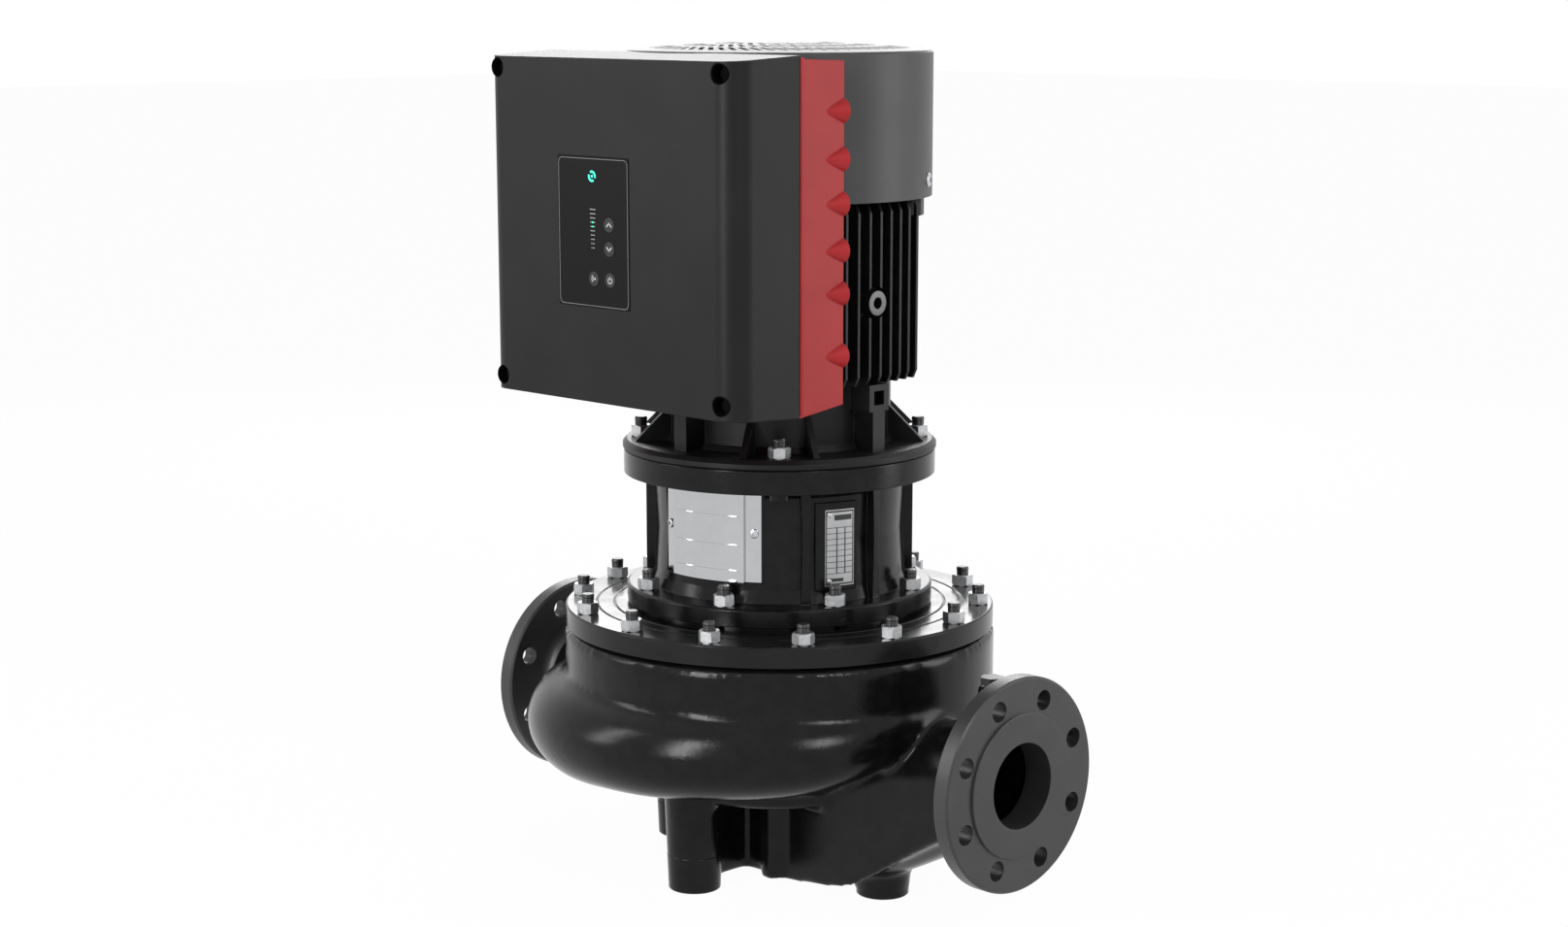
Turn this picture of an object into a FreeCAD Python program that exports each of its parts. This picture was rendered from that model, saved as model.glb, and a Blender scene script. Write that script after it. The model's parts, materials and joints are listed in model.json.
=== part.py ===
import FreeCAD, Part
import math
import os

import Sketcher
from FreeCAD import Placement, Rotation, Vector

# In-line pump with a flanged motor and a control box, in millimetres.
# The origin is on the floor under the shaft, +X runs out of the suction flange,
# the control box faces -Y and the shaft stands along +Z.

SIZES = {
    # ports and their flanges
    "port_height": 140.0,
    "port_reach": 310.0,
    "port_bore": 40.0,
    "neck_radius": 52.0,
    "flange_radius": 100.0,
    "flange_depth": 20.0,
    "face_radius": 67.5,
    "face_height": 2.5,
    "port_circle": 80.0,
    "suction_hole": 9.5,
    "discharge_hole": 9.0,
    "port_bolts": 8,
    "casting_wall": 8.0,
    "channel_floor": 5.5,
    "gauge_top": 228.0,
    "gauge_x": 272.0,
    "drain_x": 214.0,
    "drain_y": 60.0,
    "drain_z": 112.0,
    # bowl of the housing
    "bowl_radius": 207.5,
    "bowl_top": 245.0,
    "bowl_step": 240.0,
    "bowl_bore": 178.0,
    "chamber_radius": 190.0,
    "disc_radius": 126.0,
    "disc_bottom": 88.0,
    "eye_radius": 48.0,
    # volute
    "volute_circle": 186.0,
    "volute_spread": 12.5,
    "volute_start": 14.0,
    "volute_middle": 39.5,
    "volute_end": 47.5,
    "volute_crest": 195.0,
    "volute_limit": 186.0,
    # feet
    "foot_circle_x": 139.0,
    "foot_circle_y": 115.0,
    "foot_radius": 25.0,
    "foot_top_radius": 29.0,
    "foot_thread": 8.0,
    "foot_thread_depth": 30.0,
    # cover
    "cover_radius": 206.5,
    "cover_bottom": 245.5,
    "cover_top": 265.0,
    "cover_seat": 268.6,
    "cover_bolts": 14,
    "cover_circle": 192.2,
    # metric twelve fastener
    "stud_radius": 6.0,
    "stud_hole": 6.75,
    "nut_corner": 10.4,
    "nut_height": 10.8,
    "stud_stand": 8.0,
    # stool
    "stool_foot_radius": 147.0,
    "stool_foot_top": 286.0,
    "stool_circle": 134.5,
    "stool_bolts": 8,
    "stool_wall": 120.0,
    "stool_bore": 108.0,
    "stool_rib": 128.0,
    "stool_head_bottom": 393.0,
    "stool_head_radius": 149.0,
    "motor_face": 415.0,
    "spigot_radius": 115.0,
    "guard_radius": 124.0,
    "guard_bottom": 306.0,
    "guard_height": 84.0,
    "plate_pad_radius": 121.3,
    # motor
    "motor_flange_radius": 150.0,
    "motor_flange_top": 425.0,
    "motor_circle": 132.5,
    "motor_bolts": 4,
    "shield_drum": 106.0,
    "stator_bottom": 487.0,
    "stator_top": 655.0,
    "frame_radius": 112.0,
    "frame_bore": 104.5,
    "fin_reach": 130.0,
    "fin_pitch": 14.0,
    "fan_cover_radius": 143.6,
    "fan_cover_top": 789.0,
    "fan_cover_crown": 7.0,
    "sheet_metal": 1.5,
    # shafts
    "pump_shaft_radius": 16.0,
    "motor_shaft_radius": 19.0,
    "bearing_shaft_radius": 20.0,
    "lower_bearing_bottom": 430.5,
    "lower_bearing_radius": 45.0,
    "lower_bearing_width": 23.0,
    "upper_bearing_bottom": 663.0,
    "upper_bearing_radius": 40.0,
    "upper_bearing_width": 18.0,
    # impeller
    "impeller_radius": 140.0,
    "impeller_neck": 45.0,
    # control box
    "box_half_width": 164.0,
    "box_front": 219.5,
    "box_joint": 138.5,
    "box_rear": 84.0,
    "box_bottom": 474.0,
    "box_height": 314.3,
    "box_top_step": 3.0,
    "box_draft": 4.0,
    "box_corner": 23.0,
    "box_wall": 3.5,
    "box_screw_x": 146.0,
    "box_screw_low": 491.0,
    "box_screw_high": 774.0,
    "box_screw_seat": 13.0,
    "box_pocket": 9.0,
    "panel_left": -62.5,
    "panel_right": 32.5,
    "panel_bottom": 564.0,
    "panel_top": 698.0,
    "panel_depth": 1.6,
    "button_radius": 6.6,
}

doc = FreeCAD.newDocument("InlinePump")
sheet = doc.addObject("Spreadsheet::Sheet", "Sizes")
for row, (alias, number) in enumerate(SIZES.items(), start=1):
    sheet.set("A%d" % row, alias)
    sheet.set("B%d" % row, str(number))
    sheet.setAlias("B%d" % row, alias)
doc.recompute()


class Size(float):
    """A length that remembers the spreadsheet expression that it comes from."""

    def __new__(cls, number, text):
        size = super().__new__(cls, number)
        size.text = text
        return size

    def __add__(self, other):
        return Size(float(self) + float(other), "(%s + %s)" % (self.text, term(other)))

    def __radd__(self, other):
        return Size(float(other) + float(self), "(%s + %s)" % (term(other), self.text))

    def __sub__(self, other):
        return Size(float(self) - float(other), "(%s - %s)" % (self.text, term(other)))

    def __rsub__(self, other):
        return Size(float(other) - float(self), "(%s - %s)" % (term(other), self.text))

    def __mul__(self, other):
        return Size(float(self) * float(other), "(%s * %s)" % (self.text, term(other)))

    def __rmul__(self, other):
        return Size(float(other) * float(self), "(%s * %s)" % (term(other), self.text))

    def __neg__(self):
        return Size(-float(self), "(-1 * %s)" % self.text)

    def __truediv__(self, other):
        return Size(float(self) / float(other), "(%s / %s)" % (self.text, term(other)))


def term(number):
    return number.text if isinstance(number, Size) else repr(float(number))


class SizeTable:
    """Gives each cell of the sheet as a Size, by its alias."""

    def __getattr__(self, alias):
        return Size(float(sheet.get(alias)), "Sizes.%s" % alias)


size = SizeTable()


# Small tools shared by the pieces

def bind(piece, name, number):
    """Sets a property and, where the number comes from the sheet, ties it there."""
    if isinstance(number, Size):
        piece.setExpression(name, number.text)
    elif name.startswith("Placement.Base"):
        piece.setExpression(name, repr(float(number)))
    else:
        setattr(piece, name, number)


def put(piece, at, rotation=None):
    if rotation is not None:
        piece.Placement = Placement(Vector(0, 0, 0), rotation)
    for axis, number in zip("xyz", at):
        bind(piece, "Placement.Base.%s" % axis, number)


ALONG = {
    "z": Rotation(),
    "x": Rotation(Vector(0, 1, 0), 90),
    "y": Rotation(Vector(1, 0, 0), -90),
}


def cylinder(name, radius, height, at=(0, 0, 0), axis="z", sector=360.0, turn=0.0):
    piece = doc.addObject("Part::Cylinder", name)
    put(piece, at, Rotation(Vector(0, 0, 1), turn) * ALONG[axis])
    bind(piece, "Radius", radius)
    bind(piece, "Height", height)
    piece.Angle = sector
    return piece


def cone(name, low_radius, high_radius, height, at=(0, 0, 0)):
    piece = doc.addObject("Part::Cone", name)
    put(piece, at, Rotation())
    bind(piece, "Radius1", low_radius)
    bind(piece, "Radius2", high_radius)
    bind(piece, "Height", height)
    return piece


def block(name, low, high, turn=0.0):
    """Box between two corners, then turned about the shaft axis."""
    piece = doc.addObject("Part::Box", name)
    for side, start, end in zip(("Length", "Width", "Height"), low, high):
        bind(piece, side, end - start)
    if turn:
        angle = math.radians(turn)
        corner_x = low[0] * math.cos(angle) - low[1] * math.sin(angle)
        corner_y = low[0] * math.sin(angle) + low[1] * math.cos(angle)
        put(piece, (corner_x, corner_y, low[2]), Rotation(Vector(0, 0, 1), turn))
    else:
        put(piece, low, Rotation())
    return piece


def fuse(name, pieces):
    piece = doc.addObject("Part::MultiFuse", name)
    piece.Shapes = pieces
    piece.Refine = True
    return piece


def cut(name, base, tools):
    tool = tools[0] if len(tools) == 1 else fuse(name + "_tools", tools)
    piece = doc.addObject("Part::Cut", name)
    piece.Base = base
    piece.Tool = tool
    piece.Refine = True
    return piece


def common(name, pieces):
    piece = doc.addObject("Part::MultiCommon", name)
    piece.Shapes = pieces
    return piece


def shaped(name, shape):
    piece = doc.addObject("Part::Feature", name)
    piece.Shape = shape
    return piece


def ring_places(radius, count, first_angle):
    """Points on a circle about the shaft, with their angles in degrees."""
    places = []
    for index in range(int(count)):
        angle = first_angle + index * 360.0 / int(count)
        turn = math.radians(angle)
        places.append((float(radius) * math.cos(turn), float(radius) * math.sin(turn), angle))
    return places


def copies(name, template, places, height=0.0):
    """Separate copies of one solid, turned and moved to each place, as one group."""
    doc.recompute()
    solids = []
    for x, y, angle in places:
        solid = template.Shape.copy()
        turned = Placement(Vector(x, y, float(height)), Rotation(Vector(0, 0, 1), angle))
        solid.Placement = turned.multiply(solid.Placement)
        solids.append(solid)
    return shaped(name, Part.makeCompound(solids))


def origin_plane(body, role):
    return next(plane for plane in body.Origin.OriginFeatures if plane.Role == role)


def new_sketch(body, name, role, lift=0.0):
    sketch = body.newObject("Sketcher::SketchObject", name)
    sketch.AttachmentSupport = [(origin_plane(body, role), "")]
    sketch.MapMode = "FlatFace"
    if isinstance(lift, Size):
        sketch.setExpression("AttachmentOffset.Base.z", lift.text)
    elif lift:
        sketch.AttachmentOffset = Placement(Vector(0, 0, lift), Rotation())
    return sketch


def hold(sketch, kind, edge, point, number):
    """Fixes one coordinate of a sketch point, measured from the origin."""
    rule = Sketcher.Constraint(kind, -1, 1, edge, point, float(number))
    index = sketch.addConstraint(rule)
    if isinstance(number, Size):
        sketch.setExpression("Constraints[%d]" % index, number.text)


def draw_outline(sketch, corners):
    """Closed straight-sided outline; each corner is held at its two coordinates."""
    count = len(corners)
    for index in range(count):
        start = Vector(*corners[index], 0)
        end = Vector(*corners[(index + 1) % count], 0)
        sketch.addGeometry(Part.LineSegment(start, end), False)
    for index in range(count):
        following = (index + 1) % count
        sketch.addConstraint(Sketcher.Constraint("Coincident", index, 2, following, 1))
    for index, (across, along) in enumerate(corners):
        hold(sketch, "DistanceX", index, 1, across)
        hold(sketch, "DistanceY", index, 1, along)


def draw_circle(sketch, radius, across, along):
    edge = sketch.addGeometry(Part.Circle(Vector(across, along, 0), Vector(0, 0, 1), radius), False)
    hold(sketch, "DistanceX", edge, 3, across)
    hold(sketch, "DistanceY", edge, 3, along)
    index = sketch.addConstraint(Sketcher.Constraint("Radius", edge, float(radius)))
    if isinstance(radius, Size):
        sketch.setExpression("Constraints[%d]" % index, radius.text)


def turned(name, corners, sweep=360.0):
    """Body of revolution about the shaft, from an outline of (radius, height) corners."""
    body = doc.addObject("PartDesign::Body", name)
    sketch = new_sketch(body, name + "_outline", "XZ_Plane")
    draw_outline(sketch, corners)
    turn = body.newObject("PartDesign::Revolution", name + "_turn")
    turn.Profile = sketch
    turn.ReferenceAxis = (sketch, ["V_Axis"])
    turn.Angle = sweep
    body.Tip = turn
    doc.recompute()
    return body


def drill(body, name, hole_radius, circle_radius, count, first_angle, low, depth):
    """Ring of round holes cut upwards from the height low."""
    before = body.Shape.Volume
    sketch = new_sketch(body, name + "_circle", "XY_Plane", low)
    turn = math.radians(first_angle)
    draw_circle(sketch, hole_radius, circle_radius * math.cos(turn), circle_radius * math.sin(turn))
    pocket = body.newObject("PartDesign::Pocket", name + "_hole")
    pocket.Profile = sketch
    bind(pocket, "Length", depth)
    pocket.Reversed = True
    body.Tip = pocket
    if count > 1:
        pattern = body.newObject("PartDesign::PolarPattern", name + "_ring")
        pattern.Originals = [pocket]
        pattern.Axis = (sketch, ["N_Axis"])
        pattern.Angle = 360
        pattern.Occurrences = int(count)
        body.Tip = pattern
    doc.recompute()
    if body.Shape.Volume >= before:
        raise RuntimeError(name + " cut nothing")
    return body


# Fastener templates

def stud_template(name, length):
    return cylinder(name, size.stud_radius, length)


def nut_template(name):
    hexagon = doc.addObject("Part::Prism", name + "_hexagon")
    hexagon.Polygon = 6
    bind(hexagon, "Circumradius", size.nut_corner)
    bind(hexagon, "Height", size.nut_height)
    bore = cylinder(name + "_bore", size.stud_radius, size.nut_height)
    return cut(name, hexagon, [bore])


nut = nut_template("nut_template")

# Housing: two flanged ports in line, the spiral volute, the bowl and the feet


def port_flange(name, side):
    """Flange with a raised face, turned about the port axis; side is +1 or -1 along X."""
    depth = size.flange_depth - size.face_height
    back = cylinder(name + "_back", size.flange_radius, depth, axis="x")
    face = cylinder(name + "_face", size.face_radius, size.face_height, axis="x")
    if side > 0:
        put(back, (size.port_reach - size.flange_depth, 0, size.port_height))
        put(face, (size.port_reach - size.face_height, 0, size.port_height))
    else:
        put(back, (-size.port_reach + size.face_height, 0, size.port_height))
        put(face, (-size.port_reach, 0, size.port_height))
    return [back, face]


def port_holes(name, side, radius):
    holes = []
    start = size.port_reach - size.flange_depth - 1.0 if side > 0 else -size.port_reach - 1.0
    for index in range(int(size.port_bolts)):
        angle = math.radians(22.5 + index * 360.0 / size.port_bolts)
        across = size.port_circle * math.cos(angle)
        up = size.port_height + size.port_circle * math.sin(angle)
        length = size.flange_depth + 2.0
        holes.append(cylinder("%s_%d" % (name, index + 1), radius, length, (start, across, up), "x"))
    return holes


TONGUE_ANGLE = 170.0
FULL_WRAP = 320.0
GROWTH_WRAP = 210.0
STEADY_WRAP = 305.0
SECTION_COUNT = 21
EXIT_TURN = 60.0
BEND_RADIUS = 58.0


def volute_radius(wrap):
    """Radius of the spiral tube, wrap degrees round from its start."""
    if wrap >= GROWTH_WRAP:
        share = (min(wrap, STEADY_WRAP) - GROWTH_WRAP) / (STEADY_WRAP - GROWTH_WRAP)
        return size.volute_middle + (size.volute_end - size.volute_middle) * share
    shrink = 16.5 * ((GROWTH_WRAP - wrap) / 41.0) ** 1.3
    return max(size.volute_start, size.volute_middle - shrink)


def volute_place(wrap):
    """Centre of the spiral tube and its bearing; its crest meets the bowl's wall at one height."""
    angle = TONGUE_ANGLE - wrap
    turn = math.radians(angle)
    share = min(1.0, max(0.0, (wrap - GROWTH_WRAP) / (STEADY_WRAP - GROWTH_WRAP)))
    circle = size.volute_circle + size.volute_spread * share
    reach = float(volute_radius(wrap)) ** 2 - float(size.bowl_radius - circle) ** 2
    height = min(size.volute_limit, size.volute_crest - math.sqrt(max(reach, 0.0)))
    return (circle * math.cos(turn), circle * math.sin(turn), height), angle


def tube_section(centre, turn, radius):
    """Circle standing upright across the tube, turned about Z."""
    ring = Part.Wire(Part.Circle(Vector(0, 0, 0), Vector(0, 1, 0), float(radius)).toShape())
    ring.Placement = Placement(Vector(*centre), Rotation(Vector(0, 0, 1), turn))
    return ring


def volute_tube(margin):
    """Spiral tube with its straight exit and the bend into the discharge neck, margin under the skin."""
    sections = []
    for index in range(SECTION_COUNT):
        wrap = FULL_WRAP * index / (SECTION_COUNT - 1)
        centre, angle = volute_place(wrap)
        sections.append(tube_section(centre, angle, volute_radius(wrap) - margin))
    spiral = Part.makeLoft(sections, True, False)
    neck = size.neck_radius - margin
    start, angle = volute_place(FULL_WRAP)
    corner_x = float(start[0]) + float(start[1]) / math.tan(math.radians(EXIT_TURN))
    tangent = BEND_RADIUS * math.tan(math.radians(EXIT_TURN / 2.0))
    bend_start = Vector(corner_x + tangent * math.cos(math.radians(EXIT_TURN)),
                        -tangent * math.sin(math.radians(EXIT_TURN)), float(size.port_height))
    straight = Part.makeLoft([sections[-1], tube_section(bend_start, angle, neck)], True, True)
    mouth = Part.Face(tube_section(Vector(corner_x - tangent, 0, float(size.port_height)), -90.0, neck))
    bend = mouth.revolve(Vector(corner_x - tangent, -BEND_RADIUS, 0), Vector(0, 0, 1), -EXIT_TURN)
    run = float(size.port_reach - size.flange_depth) + corner_x - tangent
    stub = mouth.extrude(Vector(-run, 0, 0))
    return spiral.fuse([straight, bend, stub])


ROUND = 0.7071


def channel_section(x, half_width, floor, low_side, high_side, roof, fullness):
    """Closed outline across the suction channel: upright sides, a round top and a fuller bottom."""
    def point(y, z):
        return Vector(float(x), float(y), float(z))

    def curve(side, tip, corner, direction):
        power = -math.log(2.0) / math.log(corner)
        half_share = (1.0 - 0.5 ** power) ** (1.0 / power)
        shares = ((direction, 0.0), (direction * corner, corner), (direction * 0.5, half_share), (0.0, 1.0),
                  (-direction * 0.5, half_share), (-direction * corner, corner), (-direction, 0.0))
        points = [point(half_width * across, side + (tip - side) * along) for across, along in shares]
        heading = 1.0 if tip > side else -1.0
        spline = Part.BSplineCurve()
        spline.interpolate(points, InitialTangent=Vector(0, 0, heading), FinalTangent=Vector(0, 0, -heading))
        return spline.toShape()

    edges = [
        curve(low_side, floor, fullness, 1.0),
        Part.LineSegment(point(-half_width, low_side), point(-half_width, high_side)).toShape(),
        curve(high_side, roof, ROUND, -1.0),
        Part.LineSegment(point(half_width, high_side), point(half_width, low_side)).toShape(),
    ]
    return Part.Wire(edges)


def suction_channel(margin, reach):
    """Channel that dives from the suction port under the bowl to the impeller eye."""
    stations = (
        (reach, size.neck_radius, 88.0, 139.0, 141.0, 192.0, ROUND),
        (250.0, 51.0, 69.0, 115.0, 137.0, 188.0, ROUND),
        (180.0, 50.0, 33.0, 75.0, 120.0, 165.0, 0.76),
        (120.0, 50.0, 12.0, 47.0, 96.0, 124.0, 0.84),
        (60.0, 50.0, size.channel_floor, 31.0, 84.0, 110.0, 0.88),
        (0.0, 50.0, size.channel_floor, 30.0, 80.0, 104.0, 0.88),
    )
    sections = []
    for x, half_width, floor, low_side, high_side, roof, fullness in stations:
        section = channel_section(x, half_width - margin, floor + margin, low_side, high_side,
                                  roof - margin, fullness)
        sections.append(section)
    return Part.makeLoft(sections, True, False)


COVER_STUD_DEPTH = 24.0
FOOT_TOP = 104.0
WEB_HALF = 6.0
WEB_TOP = 92.0


def foot(name, x, y, top):
    """Tapered leg standing on the floor."""
    return cone(name, size.foot_radius, size.foot_top_radius, top, (x, y, 0))


def foot_web(name, side):
    """Web and round rib between the eye well and the front or rear foot."""
    near = 45.0
    ends = sorted((side * near, side * float(size.foot_circle_y)))
    web = block("web_" + name, (-WEB_HALF, ends[0], WEB_HALF), (WEB_HALF, ends[1], WEB_TOP))
    rib = cylinder("rib_" + name, 14.5, 88.0, (43.0, side * 48.0, 4.0))
    return [web, rib]


def housing():
    bowl = turned("bowl_skin", [
        (0, size.disc_bottom),
        (size.disc_radius - 4.0, size.disc_bottom),
        (size.disc_radius, size.disc_bottom + 4.0),
        (size.disc_radius, size.disc_bottom + 14.0),
        (size.bowl_radius, 162.0),
        (size.bowl_radius, size.bowl_step),
        (size.bowl_radius - 6.0, size.bowl_step),
        (size.bowl_radius - 6.0, size.bowl_top),
        (0, size.bowl_top),
    ])
    cavity = turned("bowl_hollow", [
        (0, 100.0),
        (size.eye_radius, 100.0),
        (size.eye_radius, 114.0),
        (100.0, 114.0),
        (150.0, 127.0),
        (180.0, 150.0),
        (size.chamber_radius, 160.0),
        (size.chamber_radius, 200.0),
        (size.bowl_bore, 210.0),
        (size.bowl_bore, size.bowl_top + 1.0),
        (0, size.bowl_top + 1.0),
    ])
    wall = size.casting_wall
    spiral = shaped("volute_skin", volute_tube(0.0))
    spiral_bore = shaped("volute_bore", volute_tube(wall))
    channel = shaped("channel_skin", suction_channel(0.0, size.port_reach - size.flange_depth))
    channel_bore = shaped("channel_bore", suction_channel(wall, size.port_reach - size.flange_depth))
    well = cylinder("eye_well", 50.0, 95.0, (0, 0, size.channel_floor))
    well_bore = cylinder("eye_bore", 42.0, 87.5, (0, 0, size.channel_floor + wall))
    bore_length = size.flange_depth + 12.0
    suction_at = (size.port_reach + 1.0 - bore_length, 0, size.port_height)
    suction_bore = cylinder("suction_bore", size.port_bore, bore_length, suction_at, "x")
    discharge_at = (-size.port_reach - 1.0, 0, size.port_height)
    discharge_bore = cylinder("discharge_bore", size.port_bore, bore_length, discharge_at, "x")
    solids = [bowl, spiral, channel, well]
    solids += port_flange("suction_flange", 1)
    solids += port_flange("discharge_flange", -1)
    solids += [
        foot("front_foot", 0, -size.foot_circle_y, FOOT_TOP),
        foot("rear_foot", 0, size.foot_circle_y, FOOT_TOP),
        foot("suction_foot", size.foot_circle_x, 0, 40.0),
        foot("discharge_foot", -size.foot_circle_x, 0, 116.0),
    ]
    solids += foot_web("front", -1.0) + foot_web("rear", 1.0)
    solids += [
        block("discharge_web", (-size.foot_circle_x, -WEB_HALF, WEB_HALF), (-40.0, WEB_HALF, WEB_TOP)),
        cylinder("drain_boss", 15.0, 24.0, (size.drain_x, size.drain_y - 24.0, size.drain_z), "y"),
        cylinder("gauge_boss", 13.0, 56.0, (size.gauge_x, 0, size.gauge_top - 56.0)),
    ]
    walls = fuse("housing_walls", solids)
    hollows = [cavity, spiral_bore, channel_bore, well_bore, suction_bore, discharge_bore]
    hollows += port_holes("suction_hole", 1, size.suction_hole)
    hollows += port_holes("discharge_hole", -1, size.discharge_hole)
    depth = size.foot_thread_depth
    thread = size.foot_thread
    hollows += [
        cylinder("front_thread", thread, depth, (0, -size.foot_circle_y, 0)),
        cylinder("rear_thread", thread, depth, (0, size.foot_circle_y, 0)),
        cylinder("suction_thread", thread, depth - 18.0, (size.foot_circle_x, 0, 0)),
        cylinder("discharge_thread", thread, depth, (-size.foot_circle_x, 0, 0)),
        cylinder("drain_thread", 8.0, 21.0, (size.drain_x, size.drain_y - 20.0, size.drain_z), "y"),
        cylinder("gauge_thread", 6.5, 53.0, (size.gauge_x, 0, size.gauge_top - 52.0)),
    ]
    for index, (x, y, angle) in enumerate(ring_places(size.cover_circle, size.cover_bolts, -90.0)):
        at = (x, y, size.bowl_top - COVER_STUD_DEPTH)
        hollows.append(cylinder("stud_hole_%d" % (index + 1), size.stud_radius, COVER_STUD_DEPTH + 2.0, at))
    return cut("pump_housing", walls, hollows)


pump_housing = housing()

# Cover and what closes the housing

pump_cover = turned("pump_cover", [
    (20.0, 176.0),
    (158.0, 176.0),
    (size.bowl_bore - 0.5, 194.0),
    (size.bowl_bore - 0.5, size.cover_bottom),
    (size.cover_radius, size.cover_bottom),
    (size.cover_radius, size.cover_top - 1.5),
    (size.cover_radius - 1.5, size.cover_top),
    (178.0, size.cover_top),
    (176.5, size.cover_top - 1.5),
    (175.0, size.cover_top),
    (161.0, size.cover_top),
    (159.5, size.cover_top - 1.5),
    (158.0, size.cover_top),
    (140.0, size.cover_top),
    (140.0, size.cover_seat),
    (118.0, size.cover_seat),
    (106.0, 256.0),
    (98.0, 192.0),
    (52.0, 190.0),
    (52.0, 236.0),
    (36.0, 236.0),
    (36.0, 196.0),
    (20.0, 196.0),
])
drill(pump_cover, "cover_stud", size.stud_hole, size.cover_circle, size.cover_bolts, -90.0,
      size.cover_bottom - 1.0, size.cover_top - size.cover_bottom + 2.0)
drill(pump_cover, "cover_tapping", size.stud_radius, size.stool_circle, size.stool_bolts, 22.5,
      size.cover_seat - 18.0, 19.0)

cover_gasket = turned("cover_gasket", [
    (size.bowl_bore, size.bowl_top),
    (size.cover_circle - 7.5, size.bowl_top),
    (size.cover_circle - 7.5, size.cover_bottom),
    (size.bowl_bore, size.cover_bottom),
])

wear_ring = turned("wear_ring", [
    (size.impeller_neck + 0.4, 101.0),
    (size.eye_radius, 101.0),
    (size.eye_radius, 113.0),
    (size.impeller_neck + 0.4, 113.0),
])

cover_stud_length = COVER_STUD_DEPTH + size.cover_top - size.bowl_top + size.nut_height + size.stud_stand
cover_stud = stud_template("cover_stud_template", cover_stud_length)
cover_places = ring_places(size.cover_circle, size.cover_bolts, -90.0)
cover_studs = copies("cover_studs", cover_stud, cover_places, size.bowl_top - COVER_STUD_DEPTH)
cover_nuts = copies("cover_nuts", nut, cover_places, size.cover_top)


def plug(name, thread_radius, thread_length, head_corner, head_height):
    """Hexagon-headed plug, head upwards, thread pointing down from the origin."""
    thread = cylinder(name + "_thread_part", thread_radius, thread_length, (0, 0, -float(thread_length)))
    head = doc.addObject("Part::Prism", name + "_head")
    head.Polygon = 6
    head.Circumradius = head_corner
    head.Height = head_height
    return fuse(name, [thread, head])


gauge_template = plug("gauge_plug_template", 6.45, 16.0, 11.0, 7.0)
gauge_plug = copies("gauge_plug", gauge_template, [(float(size.gauge_x), 0.0, 0.0)], size.gauge_top)
drain_template = plug("drain_plug_template", 7.95, 14.0, 13.0, 8.0)
doc.recompute()
drain_shape = drain_template.Shape.copy()
drain_shape.Placement = Placement(Vector(size.drain_x, size.drain_y, size.drain_z), ALONG["y"])
drain_plug = shaped("drain_plug", drain_shape)

# Motor stool with two coupling guards

WINDOW_ANGLES = (-79.5, 100.5)
WINDOW_HALF = 17.5
RECESS_HALF = 28.0
RIB_END = 5.0
RIB_WAIST = 3.2
RIB_ANGLES = (-34.0, 0.0, 45.0, 146.0, 180.0, 225.0)
GUARD_SCREW_HALF = 23.3
GUARD_SCREW_HEIGHT = 352.0
GUARD_HALF = 26.5
GUARD_MIDDLE_HALF = 19.0
GUARD_STEP = 0.8
GUARD_RISE = 4.0
BEAD_HEIGHTS = (316.0, 340.0, 367.0)
PLATE_START = -24.8
PLATE_SWEEP = 14.1
PAD_START = -29.2
PAD_SWEEP = 20.2


def waisted_rib(name, angle):
    """Upright rib of the stool, narrowest at half its height."""
    low = float(size.stool_foot_top) - 1.0
    high = float(size.stool_head_bottom) + 1.0
    middle = (low + high) / 2.0
    inner = float(size.stool_bore) + 2.0

    def point(y, z):
        return Vector(inner, y, z)

    edges = [
        Part.LineSegment(point(-RIB_END, low), point(RIB_END, low)).toShape(),
        Part.Arc(point(RIB_END, low), point(RIB_WAIST, middle), point(RIB_END, high)).toShape(),
        Part.LineSegment(point(RIB_END, high), point(-RIB_END, high)).toShape(),
        Part.Arc(point(-RIB_END, high), point(-RIB_WAIST, middle), point(-RIB_END, low)).toShape(),
    ]
    rib = Part.Face(Part.Wire(edges)).extrude(Vector(float(size.stool_rib) - inner, 0, 0))
    rib.rotate(Vector(0, 0, 0), Vector(0, 0, 1), angle)
    return shaped(name, rib)


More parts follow.
